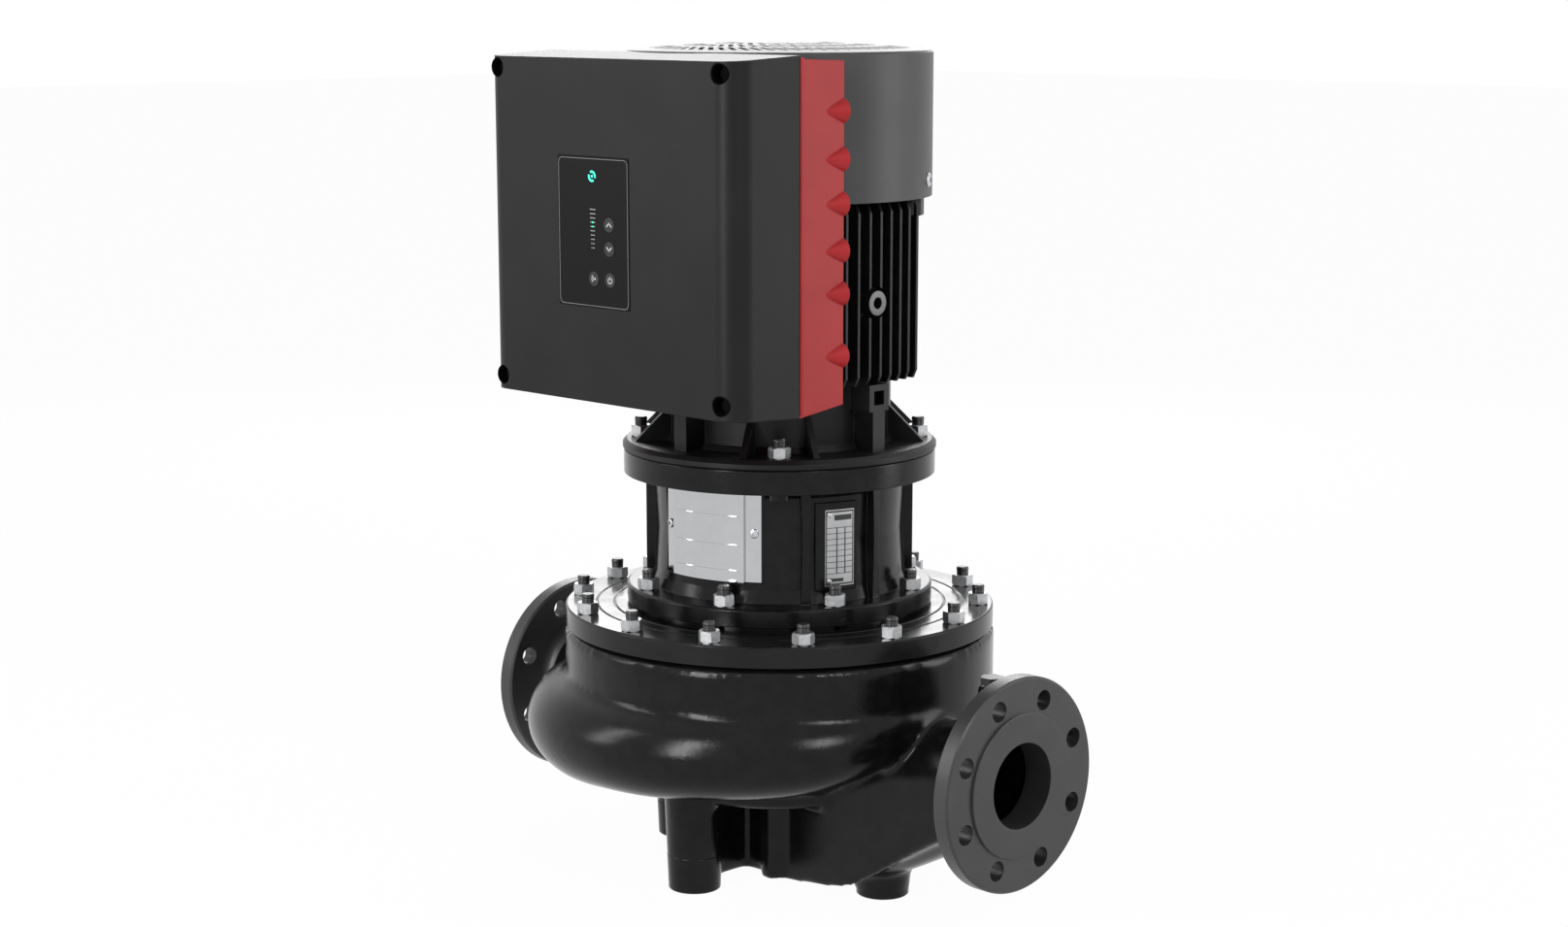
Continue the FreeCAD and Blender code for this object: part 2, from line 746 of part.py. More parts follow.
def motor_stool_piece():
    shell = turned("stool_shell", [
        (118.0, size.cover_seat),
        (size.stool_foot_radius, size.cover_seat),
        (size.stool_foot_radius, size.stool_foot_top - 2.0),
        (size.stool_foot_radius - 2.0, size.stool_foot_top),
        (size.stool_wall + 3.0, size.stool_foot_top),
        (size.stool_wall, size.stool_foot_top + 12.0),
        (size.stool_wall - 2.0, 340.0),
        (size.stool_wall, size.stool_head_bottom - 8.0),
        (size.stool_wall + 6.0, size.stool_head_bottom),
        (size.stool_head_radius, size.stool_head_bottom),
        (size.stool_head_radius, size.motor_face),
        (size.spigot_radius + 0.1, size.motor_face),
        (size.spigot_radius + 0.1, size.motor_face - 5.0),
        (size.stool_bore, size.motor_face - 5.0),
        (size.stool_bore, size.stool_foot_top),
    ])
    drill(shell, "stool_stud", size.stud_hole, size.stool_circle, size.stool_bolts, 22.5,
          size.cover_seat - 1.0, size.stool_foot_top - size.cover_seat + 2.0)
    drill(shell, "motor_stud", size.stud_radius, size.motor_circle, size.motor_bolts, -45.0,
          size.motor_face - 18.0, 19.0)
    pieces = [shell]
    for index, angle in enumerate(RIB_ANGLES):
        pieces.append(waisted_rib("stool_rib_%d" % (index + 1), angle))
    for index, (x, y, angle) in enumerate(ring_places(size.motor_circle, size.motor_bolts, -45.0)):
        at = (x, y, size.stool_head_bottom - 7.0)
        pieces.append(cylinder("head_boss_%d" % (index + 1), 9.0, 8.0, at))
    pad = cylinder("plate_pad", size.plate_pad_radius, 83.0, (0, 0, 297.0), "z", PAD_SWEEP, PAD_START)
    pad_core = cylinder("plate_pad_core", size.stool_bore + 4.0, 83.0, (0, 0, 297.0))
    pieces.append(cut("plate_pad_ring", pad, [pad_core]))
    body = fuse("stool_casting", pieces)
    openings = []
    recess_low = size.guard_bottom - 1.0
    recess_height = size.guard_height + 2.0
    for index, angle in enumerate(WINDOW_ANGLES):
        openings.append(cylinder("window_%d" % (index + 1), 140.0, size.guard_height - 10.0,
                                 (0, 0, size.guard_bottom + 5.0), "z", 2 * WINDOW_HALF, angle - WINDOW_HALF))
        ring = cylinder("recess_%d" % (index + 1), 140.0, recess_height, (0, 0, recess_low), "z",
                        2 * RECESS_HALF, angle - RECESS_HALF)
        core = cylinder("recess_core_%d" % (index + 1), size.guard_radius - 6.0, recess_height,
                        (0, 0, recess_low))
        openings.append(cut("guard_recess_%d" % (index + 1), ring, [core]))
    return cut("motor_stool", body, openings)


motor_stool = motor_stool_piece()
stool_stud = stud_template("stool_stud_template", 17.0 + 18.0 + size.nut_height + size.stud_stand)
stool_places = ring_places(size.stool_circle, size.stool_bolts, 22.5)
stool_studs = copies("stool_studs", stool_stud, stool_places, size.stool_foot_top - 35.0)
stool_nuts = copies("stool_nuts", nut, stool_places, size.stool_foot_top)


def ring_sector(name, inner, outer, low, height, start, sweep):
    """Curved plate about the shaft between two radii."""
    outside = cylinder(name + "_outside", outer, height, (0, 0, low), "z", sweep, start)
    inside = cylinder(name + "_inside", inner, height, (0, 0, low))
    return cut(name, outside, [inside])


def guard(name, angle):
    """Bent sheet over a window: two flat edge strips and a raised middle with pressed beads."""
    low = size.guard_bottom
    height = size.guard_height
    thick = size.sheet_metal
    inner = size.guard_radius - 5.8
    raised = inner + GUARD_RISE
    side_sweep = GUARD_HALF - GUARD_MIDDLE_HALF + GUARD_STEP
    pieces = [
        ring_sector(name + "_left", inner, inner + thick, low, height, angle - GUARD_HALF, side_sweep),
        ring_sector(name + "_middle", raised, raised + thick, low, height, angle - GUARD_MIDDLE_HALF,
                    2 * GUARD_MIDDLE_HALF),
        ring_sector(name + "_right", inner, inner + thick, low, height, angle + GUARD_HALF - side_sweep,
                    side_sweep),
        ring_sector(name + "_left_step", inner, raised + thick, low, height, angle - GUARD_MIDDLE_HALF,
                    GUARD_STEP),
        ring_sector(name + "_right_step", inner, raised + thick, low, height,
                    angle + GUARD_MIDDLE_HALF - GUARD_STEP, GUARD_STEP),
    ]
    for index, bead_height in enumerate(BEAD_HEIGHTS):
        pieces.append(ring_sector("%s_bead_%d" % (name, index + 1), raised + 0.5, raised + thick + 0.8,
                                  bead_height - 1.2, 2.4, angle - 16.5, 33.0))
    sheet_piece = fuse(name + "_sheet", pieces)
    places = [(angle - GUARD_SCREW_HALF, GUARD_SCREW_HEIGHT), (angle + GUARD_SCREW_HALF, GUARD_SCREW_HEIGHT)]
    return cut(name, sheet_piece, [screw_holes(name + "_holes", 2.1, inner + thick, places)])


def screw_holes(name, radius, at_radius, places):
    """Round holes pointing at the shaft, through a sheet whose outside is at at_radius."""
    holes = []
    for angle, height in places:
        turn = math.radians(angle)
        out = Vector(math.cos(turn), math.sin(turn), 0)
        start = out * (float(at_radius) - 4.0) + Vector(0, 0, height)
        holes.append(Part.makeCylinder(radius, 6.0, start, out))
    return shaped(name, Part.makeCompound(holes))


def radial_screws(name, radius, length, head_radius, head_length, at_radius, places):
    """Round-headed screws pointing at the shaft; places are (angle, height)."""
    solids = []
    for angle, height in places:
        turn = math.radians(angle)
        out = Vector(math.cos(turn), math.sin(turn), 0)
        seat = out * float(at_radius) + Vector(0, 0, height)
        shank = Part.makeCylinder(radius, length, seat - out * length, out)
        head = Part.makeCylinder(head_radius, head_length, seat, out)
        solids.append(shank.fuse(head))
    return shaped(name, Part.makeCompound(solids))


front_coupling_guard = guard("front_coupling_guard", WINDOW_ANGLES[0])
rear_coupling_guard = guard("rear_coupling_guard", WINDOW_ANGLES[1])
guard_edge = size.guard_radius - 5.8 + size.sheet_metal
guard_screw_places = [
    (angle + side * GUARD_SCREW_HALF, GUARD_SCREW_HEIGHT) for angle in WINDOW_ANGLES for side in (-1, 1)]
guard_screws = radial_screws("guard_screws", 2.0, 1.4, 4.0, 2.2, guard_edge, guard_screw_places)

plate_radius = size.plate_pad_radius + 0.1
name_plate = turned("name_plate", [
    (plate_radius, 301.3),
    (plate_radius + 1.0, 301.3),
    (plate_radius + 1.0, 373.2),
    (plate_radius, 373.2),
], PLATE_SWEEP)
name_plate.Placement = Placement(Vector(0, 0, 0), Rotation(Vector(0, 0, 1), PLATE_START))

# Shafts, impeller, seal and coupling

pump_shaft = turned("pump_shaft", [
    (0, 120.0),
    (8.0, 120.0),
    (8.0, 138.0),
    (size.pump_shaft_radius, 138.0),
    (size.pump_shaft_radius, 333.0),
    (0, 333.0),
])
motor_shaft = turned("motor_shaft", [
    (0, 335.0),
    (size.motor_shaft_radius, 335.0),
    (size.motor_shaft_radius, 419.0),
    (size.bearing_shaft_radius, 419.0),
    (size.bearing_shaft_radius, 458.0),
    (24.0, 458.0),
    (24.0, 660.0),
    (size.bearing_shaft_radius, 660.0),
    (size.bearing_shaft_radius, 686.0),
    (16.0, 686.0),
    (16.0, 735.0),
    (0, 735.0),
])
front_shroud = turned("front_shroud", [
    (size.impeller_neck - 4.0, 104.0),
    (size.impeller_neck, 104.0),
    (size.impeller_neck, 120.0),
    (60.0, 128.0),
    (size.impeller_radius, 141.0),
    (size.impeller_radius, 145.0),
    (60.0, 132.5),
    (size.impeller_neck - 4.0, 124.0),
])
back_shroud = turned("back_shroud", [
    (size.pump_shaft_radius, 138.0),
    (24.0, 138.0),
    (32.0, 150.0),
    (60.0, 157.0),
    (size.impeller_radius, 160.0),
    (size.impeller_radius, 164.5),
    (50.0, 164.5),
    (28.0, 172.0),
    (size.pump_shaft_radius, 172.0),
])
passage = turned("impeller_passage", [
    (40.0, 122.0),
    (60.0, 130.5),
    (size.impeller_radius, 143.0),
    (size.impeller_radius, 162.0),
    (60.0, 159.0),
    (40.0, 156.0),
])

BLADE_COUNT = 6
BLADE_THICKNESS = 5.0
BLADE_SWEEP = 85.0


def blade_strip():
    """One backward-curved vane as a strip between two spiral edges."""
    steps = 8
    outer = []
    inner = []
    for index in range(steps + 1):
        share = index / steps
        radius = 46.0 + (float(size.impeller_radius) + 4.0 - 46.0) * share
        turn = math.radians(BLADE_SWEEP * share ** 0.8)
        half = BLADE_THICKNESS / 2.0 / radius * 1.35
        outer.append(Vector(radius * math.cos(turn + half), radius * math.sin(turn + half), 118.0))
        inner.append(Vector(radius * math.cos(turn - half), radius * math.sin(turn - half), 118.0))
    leading = Part.BSplineCurve()
    leading.interpolate(outer)
    trailing = Part.BSplineCurve()
    trailing.interpolate(inner)
    edges = [
        leading.toShape(),
        Part.LineSegment(outer[-1], inner[-1]).toShape(),
        trailing.toShape(),
        Part.LineSegment(inner[0], outer[0]).toShape(),
    ]
    return Part.Face(Part.Wire(Part.__sortEdges__(edges))).extrude(Vector(0, 0, 46.0))


blade = shaped("blade_strip", blade_strip())
blade_ring = copies("blade_ring", blade, ring_places(0.0, BLADE_COUNT, 0.0))
blades = common("impeller_blades", [blade_ring, passage])
impeller_casting = fuse("impeller_casting", [front_shroud, back_shroud, blades])
key_seat = block("key_seat", (14.0, -5.0, 142.0), (19.5, 5.0, 170.0))
impeller = cut("impeller", impeller_casting, [key_seat])
impeller_key = block("impeller_key", (16.05, -4.95, 142.5), (19.4, 4.95, 169.5))

impeller_washer = turned("impeller_washer", [
    (8.1, 135.5),
    (19.0, 135.5),
    (19.0, 138.0),
    (8.1, 138.0),
])
nut_hexagon = doc.addObject("Part::Prism", "impeller_nut_hexagon")
nut_hexagon.Polygon = 6
nut_hexagon.Circumradius = 13.8
nut_hexagon.Height = 12.0
nut_hexagon.Placement.Base = Vector(0, 0, 123.5)
impeller_nut = cut("impeller_nut", nut_hexagon, [cylinder("impeller_nut_bore", 8.0, 12.0, (0, 0, 123.5))])

seal_rotating_ring = turned("seal_rotating_ring", [
    (size.pump_shaft_radius, 210.0),
    (26.0, 210.0),
    (26.0, 222.0),
    (22.0, 222.0),
    (22.0, 225.7),
    (size.pump_shaft_radius + 2.0, 225.7),
    (size.pump_shaft_radius + 2.0, 222.0),
    (size.pump_shaft_radius, 222.0),
])
seal_collar = turned("seal_collar", [
    (size.pump_shaft_radius, 198.0),
    (28.0, 198.0),
    (30.0, 202.0),
    (26.5, 210.0),
    (size.pump_shaft_radius, 210.0),
])
seal_seat = turned("seal_seat", [
    (size.pump_shaft_radius + 1.5, 226.0),
    (size.pump_shaft_radius + 8.0, 226.0),
    (size.pump_shaft_radius + 8.0, 230.0),
    (36.0, 230.0),
    (36.0, 238.0),
    (size.pump_shaft_radius + 1.5, 238.0),
])

COUPLING_LOW = 292.0
COUPLING_TOP = 396.0
COUPLING_RADIUS = 38.0


def coupling_half(name, start):
    shell = turned(name + "_shell", [
        (size.pump_shaft_radius, COUPLING_LOW),
        (COUPLING_RADIUS, COUPLING_LOW),
        (COUPLING_RADIUS, COUPLING_TOP),
        (size.motor_shaft_radius, COUPLING_TOP),
        (size.motor_shaft_radius, 334.0),
        (size.pump_shaft_radius, 334.0),
    ], 176.0)
    shell.Placement = Placement(Vector(0, 0, 0), Rotation(Vector(0, 0, 1), start))
    return shell


CLAMP_X = 28.5
SCREW_HEIGHTS = (310.0, 380.0)
coupling_shell_a = coupling_half("coupling_half_a", 2.0)
coupling_shell_b = coupling_half("coupling_half_b", 182.0)


def coupling_drills():
    drills = []
    for side in (-1.0, 1.0):
        for height in SCREW_HEIGHTS:
            at = (side * CLAMP_X, -40.0, height)
            drills.append(cylinder("clamp_hole_%d" % (len(drills) + 1), 4.0, 80.0, at, "y"))
    return drills


def head_seats():
    """Counterbores that let the clamp screws' heads sink into the second half."""
    seats = []
    for side in (-1.0, 1.0):
        for height in SCREW_HEIGHTS:
            at = (side * CLAMP_X, -40.0, height)
            seats.append(cylinder("head_seat_%d" % (len(seats) + 1), 7.0, 14.0, at, "y"))
    return seats


clamp_holes = coupling_drills()
coupling_half_a = cut("coupling_half_a", coupling_shell_a, [fuse("clamp_holes_a", clamp_holes)])
clamp_cuts_b = fuse("clamp_holes_b", clamp_holes + head_seats())
coupling_half_b = cut("coupling_half_b", coupling_shell_b, [clamp_cuts_b])


def clamp_screws():
    solids = []
    for side in (-1.0, 1.0):
        for height in SCREW_HEIGHTS:
            shank = Part.makeCylinder(3.9, 50.0, Vector(side * CLAMP_X, -26.0, height), Vector(0, 1, 0))
            head = Part.makeCylinder(6.5, 8.0, Vector(side * CLAMP_X, -34.0, height), Vector(0, 1, 0))
            solids.append(shank.fuse(head))
    return shaped("coupling_screws", Part.makeCompound(solids))


coupling_screws = clamp_screws()

# Motor: shields, frame, windings, rotor, bearings and fan

BOLT_ANGLES = (-45.0, 45.0, 135.0, 225.0)
PAD_ANGLES = (-90.0, 0.0, 90.0, 180.0)
LUG_BOTTOM = 462.0


def drive_end_shield_piece():
    shell = turned("shield_shell", [
        (21.0, 420.0),
        (62.0, 420.0),
        (62.0, size.motor_face - 4.0),
        (size.spigot_radius, size.motor_face - 4.0),
        (size.spigot_radius, size.motor_face),
        (size.motor_flange_radius - 2.0, size.motor_face),
        (size.motor_flange_radius, size.motor_face + 2.0),
        (size.motor_flange_radius, size.motor_flange_top - 4.0),
        (size.motor_flange_radius - 4.0, size.motor_flange_top),
        (size.shield_drum + 4.0, size.motor_flange_top),
        (size.shield_drum, size.motor_flange_top + 6.0),
        (size.shield_drum, size.stator_bottom),
        (96.0, size.stator_bottom),
        (96.0, 440.0),
        (56.0, 440.0),
        (56.0, size.lower_bearing_bottom + size.lower_bearing_width),
        (size.lower_bearing_radius, size.lower_bearing_bottom + size.lower_bearing_width),
        (size.lower_bearing_radius, size.lower_bearing_bottom),
        (21.0, size.lower_bearing_bottom),
    ])
    drill(shell, "flange_bolt", size.stud_hole, size.motor_circle, size.motor_bolts, -45.0,
          size.motor_face - 1.0, 12.0)
    pieces = [shell]
    for index, angle in enumerate(PAD_ANGLES):
        pad_low = size.motor_flange_top - 1.0
        pieces.append(block("shield_pad_%d" % (index + 1), (100.0, -8.0, pad_low),
                            (size.fin_reach, 8.0, LUG_BOTTOM), angle))
        upper = block("shield_lug_body_%d" % (index + 1), (98.0, -13.0, LUG_BOTTOM),
                      (size.fin_reach, 13.0, size.stator_bottom), angle)
        hole = block("shield_lug_hole_%d" % (index + 1), (112.0, -6.5, LUG_BOTTOM + 6.0),
                     (size.fin_reach + 1.0, 6.5, size.stator_bottom - 6.0), angle)
        pieces.append(cut("shield_lug_%d" % (index + 1), upper, [hole]))
    for index, angle in enumerate(BOLT_ANGLES):
        for side in (-14.0, 14.0):
            name = "gusset_%d_%d" % (index + 1, int(side))
            pieces.append(gusset(name, angle + side, 104.0, 142.0, 424.0, LUG_BOTTOM))
    return fuse("drive_end_shield", pieces)


def gusset(name, angle, inner, outer, low, high):
    """Thin triangular rib standing on the flange against the drum."""
    corners = [Vector(inner, -3.0, low), Vector(outer, -3.0, low), Vector(inner, -3.0, high)]
    face = Part.Face(Part.makePolygon(corners + corners[:1]))
    shape = face.extrude(Vector(0, 6.0, 0))
    shape.rotate(Vector(0, 0, 0), Vector(0, 0, 1), angle)
    return shaped(name, shape)


drive_end_shield = drive_end_shield_piece()
motor_stud = stud_template("motor_stud_template", 16.0 + 10.0 + size.nut_height + size.stud_stand)
motor_places = ring_places(size.motor_circle, size.motor_bolts, -45.0)
motor_studs = copies("motor_studs", motor_stud, motor_places, size.motor_face - 16.0)
motor_nuts = copies("motor_nuts", nut, motor_places, size.motor_flange_top)

FIN_COUNT = 9
FIN_THICKNESS = 3.0
FIN_SHIFT = 1.8
FIN_FALL = 500.0
FIN_CHAMFER = 4.0
BOSS_HEIGHT = 562.6
BOSS_Y = -5.0
BOSS_RADIUS = 11.5


def fin(name, y, turn):
    """Cooling fin with chamfered outer corners; fins further from the middle reach less far."""
    inner = math.sqrt(float(size.frame_radius) ** 2 - float(y) ** 2) - 4.0
    reach = float(size.fin_reach) - float(y) ** 2 / FIN_FALL
    low = float(size.stator_bottom)
    high = float(size.stator_top) - 2.0
    side = float(y) - FIN_THICKNESS / 2.0
    corners = [
        Vector(inner, side, low),
        Vector(reach - FIN_CHAMFER, side, low),
        Vector(reach, side, low + 2 * FIN_CHAMFER),
        Vector(reach, side, high - 2 * FIN_CHAMFER),
        Vector(reach - FIN_CHAMFER, side, high),
        Vector(inner, side, high),
    ]
    plate = Part.Face(Part.makePolygon(corners + corners[:1])).extrude(Vector(0, FIN_THICKNESS, 0))
    plate.rotate(Vector(0, 0, 0), Vector(0, 0, 1), turn)
    return shaped(name, plate)


def stator_housing_piece():
    shell = turned("frame_shell", [
        (size.frame_bore, size.stator_bottom),
        (size.frame_radius, size.stator_bottom),
        (size.frame_radius, size.stator_top),
        (size.frame_bore, size.stator_top),
    ])
    pieces = [shell]
    for side, turn in enumerate((0.0, 90.0, 180.0)):
        for index in range(FIN_COUNT):
            y = (index - (FIN_COUNT - 1) / 2.0) * size.fin_pitch + FIN_SHIFT
            pieces.append(fin("fin_%d_%d" % (side + 1, index + 1), y, turn))
    pieces.append(block("box_pad", (-56.0, -118.0, 500.0), (56.0, -92.0, 636.0)))
    clearing = cylinder("boss_clearing", BOSS_RADIUS + 3.5, 16.0, (116.0, BOSS_Y, BOSS_HEIGHT), "x")
    ribs = cut("frame_with_clearing", fuse("frame_ribs", pieces), [clearing])
    boss = cylinder("lifting_boss", BOSS_RADIUS, 26.0, (106.0, BOSS_Y, BOSS_HEIGHT), "x")
    body = fuse("frame_casting", [ribs, boss])
    inside = cylinder("frame_inside", size.frame_bore, size.stator_top - size.stator_bottom + 2.0,
                      (0, 0, size.stator_bottom - 1.0))
    thread = cylinder("lifting_thread", 5.0, 20.0, (113.0, BOSS_Y, BOSS_HEIGHT), "x")
    return cut("stator_housing", body, [inside, thread])


stator_housing = stator_housing_piece()

stator_core = turned("stator_core", [
    (66.5, 502.0),
    (size.frame_bore, 502.0),
    (size.frame_bore, 640.0),
    (66.5, 640.0),
])
lower_winding = turned("lower_winding", [
    (70.0, 472.0),
    (93.0, 472.0),
    (95.0, 502.0),
    (70.0, 502.0),
])
upper_winding = turned("upper_winding", [
    (70.0, 640.0),
    (95.0, 640.0),
    (93.0, 660.0),
    (70.0, 660.0),
])
doc.recompute()
stator_windings = shaped("stator_windings", Part.makeCompound([lower_winding.Shape, upper_winding.Shape]))
rotor_core = turned("rotor_core", [
    (24.0, 502.0),
    (65.7, 502.0),
    (65.7, 640.0),
    (24.0, 640.0),
])


def rear_end_shield_piece():
    top = size.upper_bearing_bottom + size.upper_bearing_width
    shell = turned("rear_shell", [
        (96.0, size.stator_top),
        (size.frame_radius, size.stator_top),
        (size.frame_radius, size.stator_top + 14.0),
        (54.0, top + 5.0),
        (22.0, top + 5.0),
        (22.0, top),
        (size.upper_bearing_radius, top),
        (size.upper_bearing_radius, size.upper_bearing_bottom),
        (50.0, size.upper_bearing_bottom),
        (54.0, 672.0),
        (96.0, 664.0),
    ])
    pieces = [shell]
    for index, angle in enumerate((28.0, 118.0, 208.0, 298.0)):
        arm_end = size.fan_cover_radius - 2.2
        arm = block("cover_arm_%d" % (index + 1), (104.0, -7.0, size.stator_top),
                    (arm_end, 7.0, 679.0), angle)
        pieces.append(arm)
    return fuse("rear_end_shield", pieces)


rear_end_shield = rear_end_shield_piece()


RACE_DEPTH = 6.0
BALL_PLAY = 0.4


def outer_ring(name, low, width, radius):
    return turned(name, [
        (radius - RACE_DEPTH, low),
        (radius, low),
        (radius, low + width),
        (radius - RACE_DEPTH, low + width),
    ])


def inner_ring(name, low, width):
    return turned(name, [
        (size.bearing_shaft_radius, low),
        (size.bearing_shaft_radius + RACE_DEPTH, low),
        (size.bearing_shaft_radius + RACE_DEPTH, low + width),
        (size.bearing_shaft_radius, low + width),
    ])


def ball_cage(name, low, width, radius, count):
    """Balls in the pockets of their cage, one moving group inside a bearing."""
    middle = (radius + size.bearing_shaft_radius) / 2.0
    ball = (radius - size.bearing_shaft_radius - 2 * RACE_DEPTH) / 2.0 - BALL_PLAY
    height = low + width / 2.0
    cage = turned(name + "_cage", [
        (middle - 1.0, height - ball - 1.5),
        (middle + 1.0, height - ball - 1.5),
        (middle + 1.0, height + ball + 1.5),
        (middle - 1.0, height + ball + 1.5),
    ])
    pockets = []
    balls = []
    for x, y, angle in ring_places(middle, count, 0.0):
        out = Vector(x, y, 0).normalize()
        start = out * (float(middle) - 3.0) + Vector(0, 0, float(height))
        pockets.append(Part.makeCylinder(ball + 0.15, 6.0, start, out))
        balls.append(Part.makeSphere(ball, Vector(x, y, height)))
    frame = cut(name + "_frame", cage, [shaped(name + "_pockets", Part.makeCompound(pockets))])
    doc.recompute()
    return shaped(name, Part.makeCompound([frame.Shape] + balls))


lower_bearing_outer_ring = outer_ring("lower_bearing_outer_ring", size.lower_bearing_bottom,
                                      size.lower_bearing_width, size.lower_bearing_radius)
lower_bearing_inner_ring = inner_ring("lower_bearing_inner_ring", size.lower_bearing_bottom,
                                      size.lower_bearing_width)
lower_bearing_balls = ball_cage("lower_bearing_balls", size.lower_bearing_bottom, size.lower_bearing_width,
                                size.lower_bearing_radius, 8)
upper_bearing_outer_ring = outer_ring("upper_bearing_outer_ring", size.upper_bearing_bottom,
                                      size.upper_bearing_width, size.upper_bearing_radius)
upper_bearing_inner_ring = inner_ring("upper_bearing_inner_ring", size.upper_bearing_bottom,
                                      size.upper_bearing_width)
upper_bearing_balls = ball_cage("upper_bearing_balls", size.upper_bearing_bottom, size.upper_bearing_width,
                                size.upper_bearing_radius, 8)

fan_hub = turned("fan_hub", [
    (16.0, 698.0),
    (118.0, 698.0),
    (118.0, 701.0),
    (30.0, 706.0),
    (30.0, 732.0),
    (16.0, 732.0),
])
fan_blades = [fan_hub]
FAN_BLADES = 8
for fan_index in range(FAN_BLADES):
    blade_turn = fan_index * 360.0 / FAN_BLADES + 10.0
    fan_blades.append(block("fan_blade_%d" % (fan_index + 1), (28.0, -1.5, 700.0),
                            (122.0, 1.5, 738.0), blade_turn))
cooling_fan = fuse("cooling_fan", fan_blades)

# Fan cover with its grille

GRILLE_ROWS = ((50.0, 28), (80.5, 46), (111.0, 64))
SLOT_LENGTH = 25.0
SLOT_WIDTH = 4.5
SLOT_LEAN = 35.0
COVER_SCREW_ANGLES = (28.0, 118.0, 208.0)
CROWN_STEPS = (50.0, 96.0)


def crown(radius):
    """Rise of the fan cover's top above its rim at a radius."""
    return size.fan_cover_crown * (1.0 - (radius / float(size.fan_cover_radius)) ** 2)


def grille_slots():
    """Leaning slots in rings through the fan cover's top."""
    depth = float(size.fan_cover_crown) + 8.0
    low = float(size.fan_cover_top) - 6.0
    slots = []
    for radius, count in GRILLE_ROWS:
        corner = Vector(-SLOT_LENGTH / 2.0, -SLOT_WIDTH / 2.0, low)
        slot = Part.makeBox(SLOT_LENGTH, SLOT_WIDTH, depth, corner)
        slot.rotate(Vector(0, 0, 0), Vector(0, 0, 1), SLOT_LEAN)
        slot.translate(Vector(radius, 0, 0))
        for index in range(count):
            piece = slot.copy()
            piece.rotate(Vector(0, 0, 0), Vector(0, 0, 1), index * 360.0 / count)
            slots.append(piece)
    return shaped("grille_slots", Part.makeCompound(slots))


def fan_cover_piece():
    wall = size.sheet_metal
    radius = size.fan_cover_radius
    top = size.fan_cover_top
    outside = [(step, top + crown(step)) for step in reversed(CROWN_STEPS)]
    inside = [(step, top + crown(step) - wall) for step in CROWN_STEPS]
    corners = [(radius - wall, size.stator_top), (radius, size.stator_top)]
    corners += [(radius, top - 2.0), (radius - 2.0, top)] + outside
    corners += [(0, top + size.fan_cover_crown), (0, top + size.fan_cover_crown - wall)]
    corners += inside
    corners += [(radius - 3.0, top - wall), (radius - wall, top - 3.0)]
    shell = turned("fan_cover_shell", corners)
    holes = screw_holes("fan_cover_holes", 2.5, size.fan_cover_radius, fan_cover_places)
    return cut("fan_cover", shell, [grille_slots(), holes])


fan_cover_places = [(angle, 671.0) for angle in COVER_SCREW_ANGLES]
fan_cover = fan_cover_piece()
fan_cover_screws = radial_screws("fan_cover_screws", 2.4, 1.4, 5.0, 2.6, size.fan_cover_radius,
                                 fan_cover_places)

# Control box

BOX_TOP = size.box_bottom + size.box_height


def box_plan(name, front, rear, half, corner, low, high):
    """Upright prism with the box's plan: square at the rear, rounded at the front."""
    body = doc.addObject("PartDesign::Body", name)
    sketch = new_sketch(body, name + "_plan", "XY_Plane", low)
    shift = float(corner) * (1.0 - math.cos(math.radians(45.0)))
    left_side = (Vector(-half, -rear, 0), Vector(-half, corner - front, 0))
    right_side = (Vector(half, corner - front, 0), Vector(half, -rear, 0))
    front_side = (Vector(corner - half, -front, 0), Vector(half - corner, -front, 0))
    edges = [
        Part.LineSegment(left_side[0], left_side[1]),
        Part.Arc(left_side[1], Vector(shift - half, shift - front, 0), front_side[0]),
        Part.LineSegment(front_side[0], front_side[1]),
        Part.Arc(front_side[1], Vector(half - shift, shift - front, 0), right_side[0]),
        Part.LineSegment(right_side[0], right_side[1]),
        Part.LineSegment(right_side[1], left_side[0]),
    ]
    sketch.addGeometry(edges, False)
    pad = body.newObject("PartDesign::Pad", name + "_pad")
    pad.Profile = sketch
    bind(pad, "Length", high - low)
    body.Tip = pad
    return body


def side_profile(name, corners, half):
    """Prism across X from an outline of (y, z) corners, for the drafted top and bottom."""
    body = doc.addObject("PartDesign::Body", name)
    sketch = new_sketch(body, name + "_side", "YZ_Plane")
    draw_outline(sketch, corners)
    pad = body.newObject("PartDesign::Pad", name + "_pad")
    pad.Profile = sketch
    bind(pad, "Length", 2 * half)
    pad.SideType = "Symmetric"
    body.Tip = pad
    return body


def cover_form(name, margin):
    """Charcoal cover's form, margin inside its outer skin."""
    low = size.box_bottom + margin
    high = BOX_TOP - margin
    front = size.box_front - margin
    joint = size.box_joint if margin == 0 else size.box_joint - 1.0
    corner = size.box_corner - margin
    plan = box_plan(name + "_plan", front, joint, size.box_half_width - margin, corner, low, high)
    side = side_profile(name + "_draft", [
        (-joint, low),
        (-front, low + size.box_draft),
        (-front, high - size.box_draft),
        (-joint, high),
    ], size.box_half_width)
    return common(name, [plan, side])


def base_form(name, margin):
    """Red mid-section's form, margin inside its outer skin."""
    low = size.box_bottom + margin
    high = BOX_TOP - size.box_top_step - margin
    joint = size.box_joint if margin == 0 else size.box_joint + 1.0
    rear = size.box_rear + margin
    half = size.box_half_width - margin
    return side_profile(name, [
        (-joint, low),
        (-rear, low + 7.0),
        (-rear, high - 2.0),
        (-joint, high),
    ], half)


ENTRY_HEIGHTS = (740.0, 698.0, 659.0, 618.0, 580.0, 525.0)
SADDLE_LOW = 131.5
SADDLE_HIGH = 145.2
SADDLE_STEP = 640.0

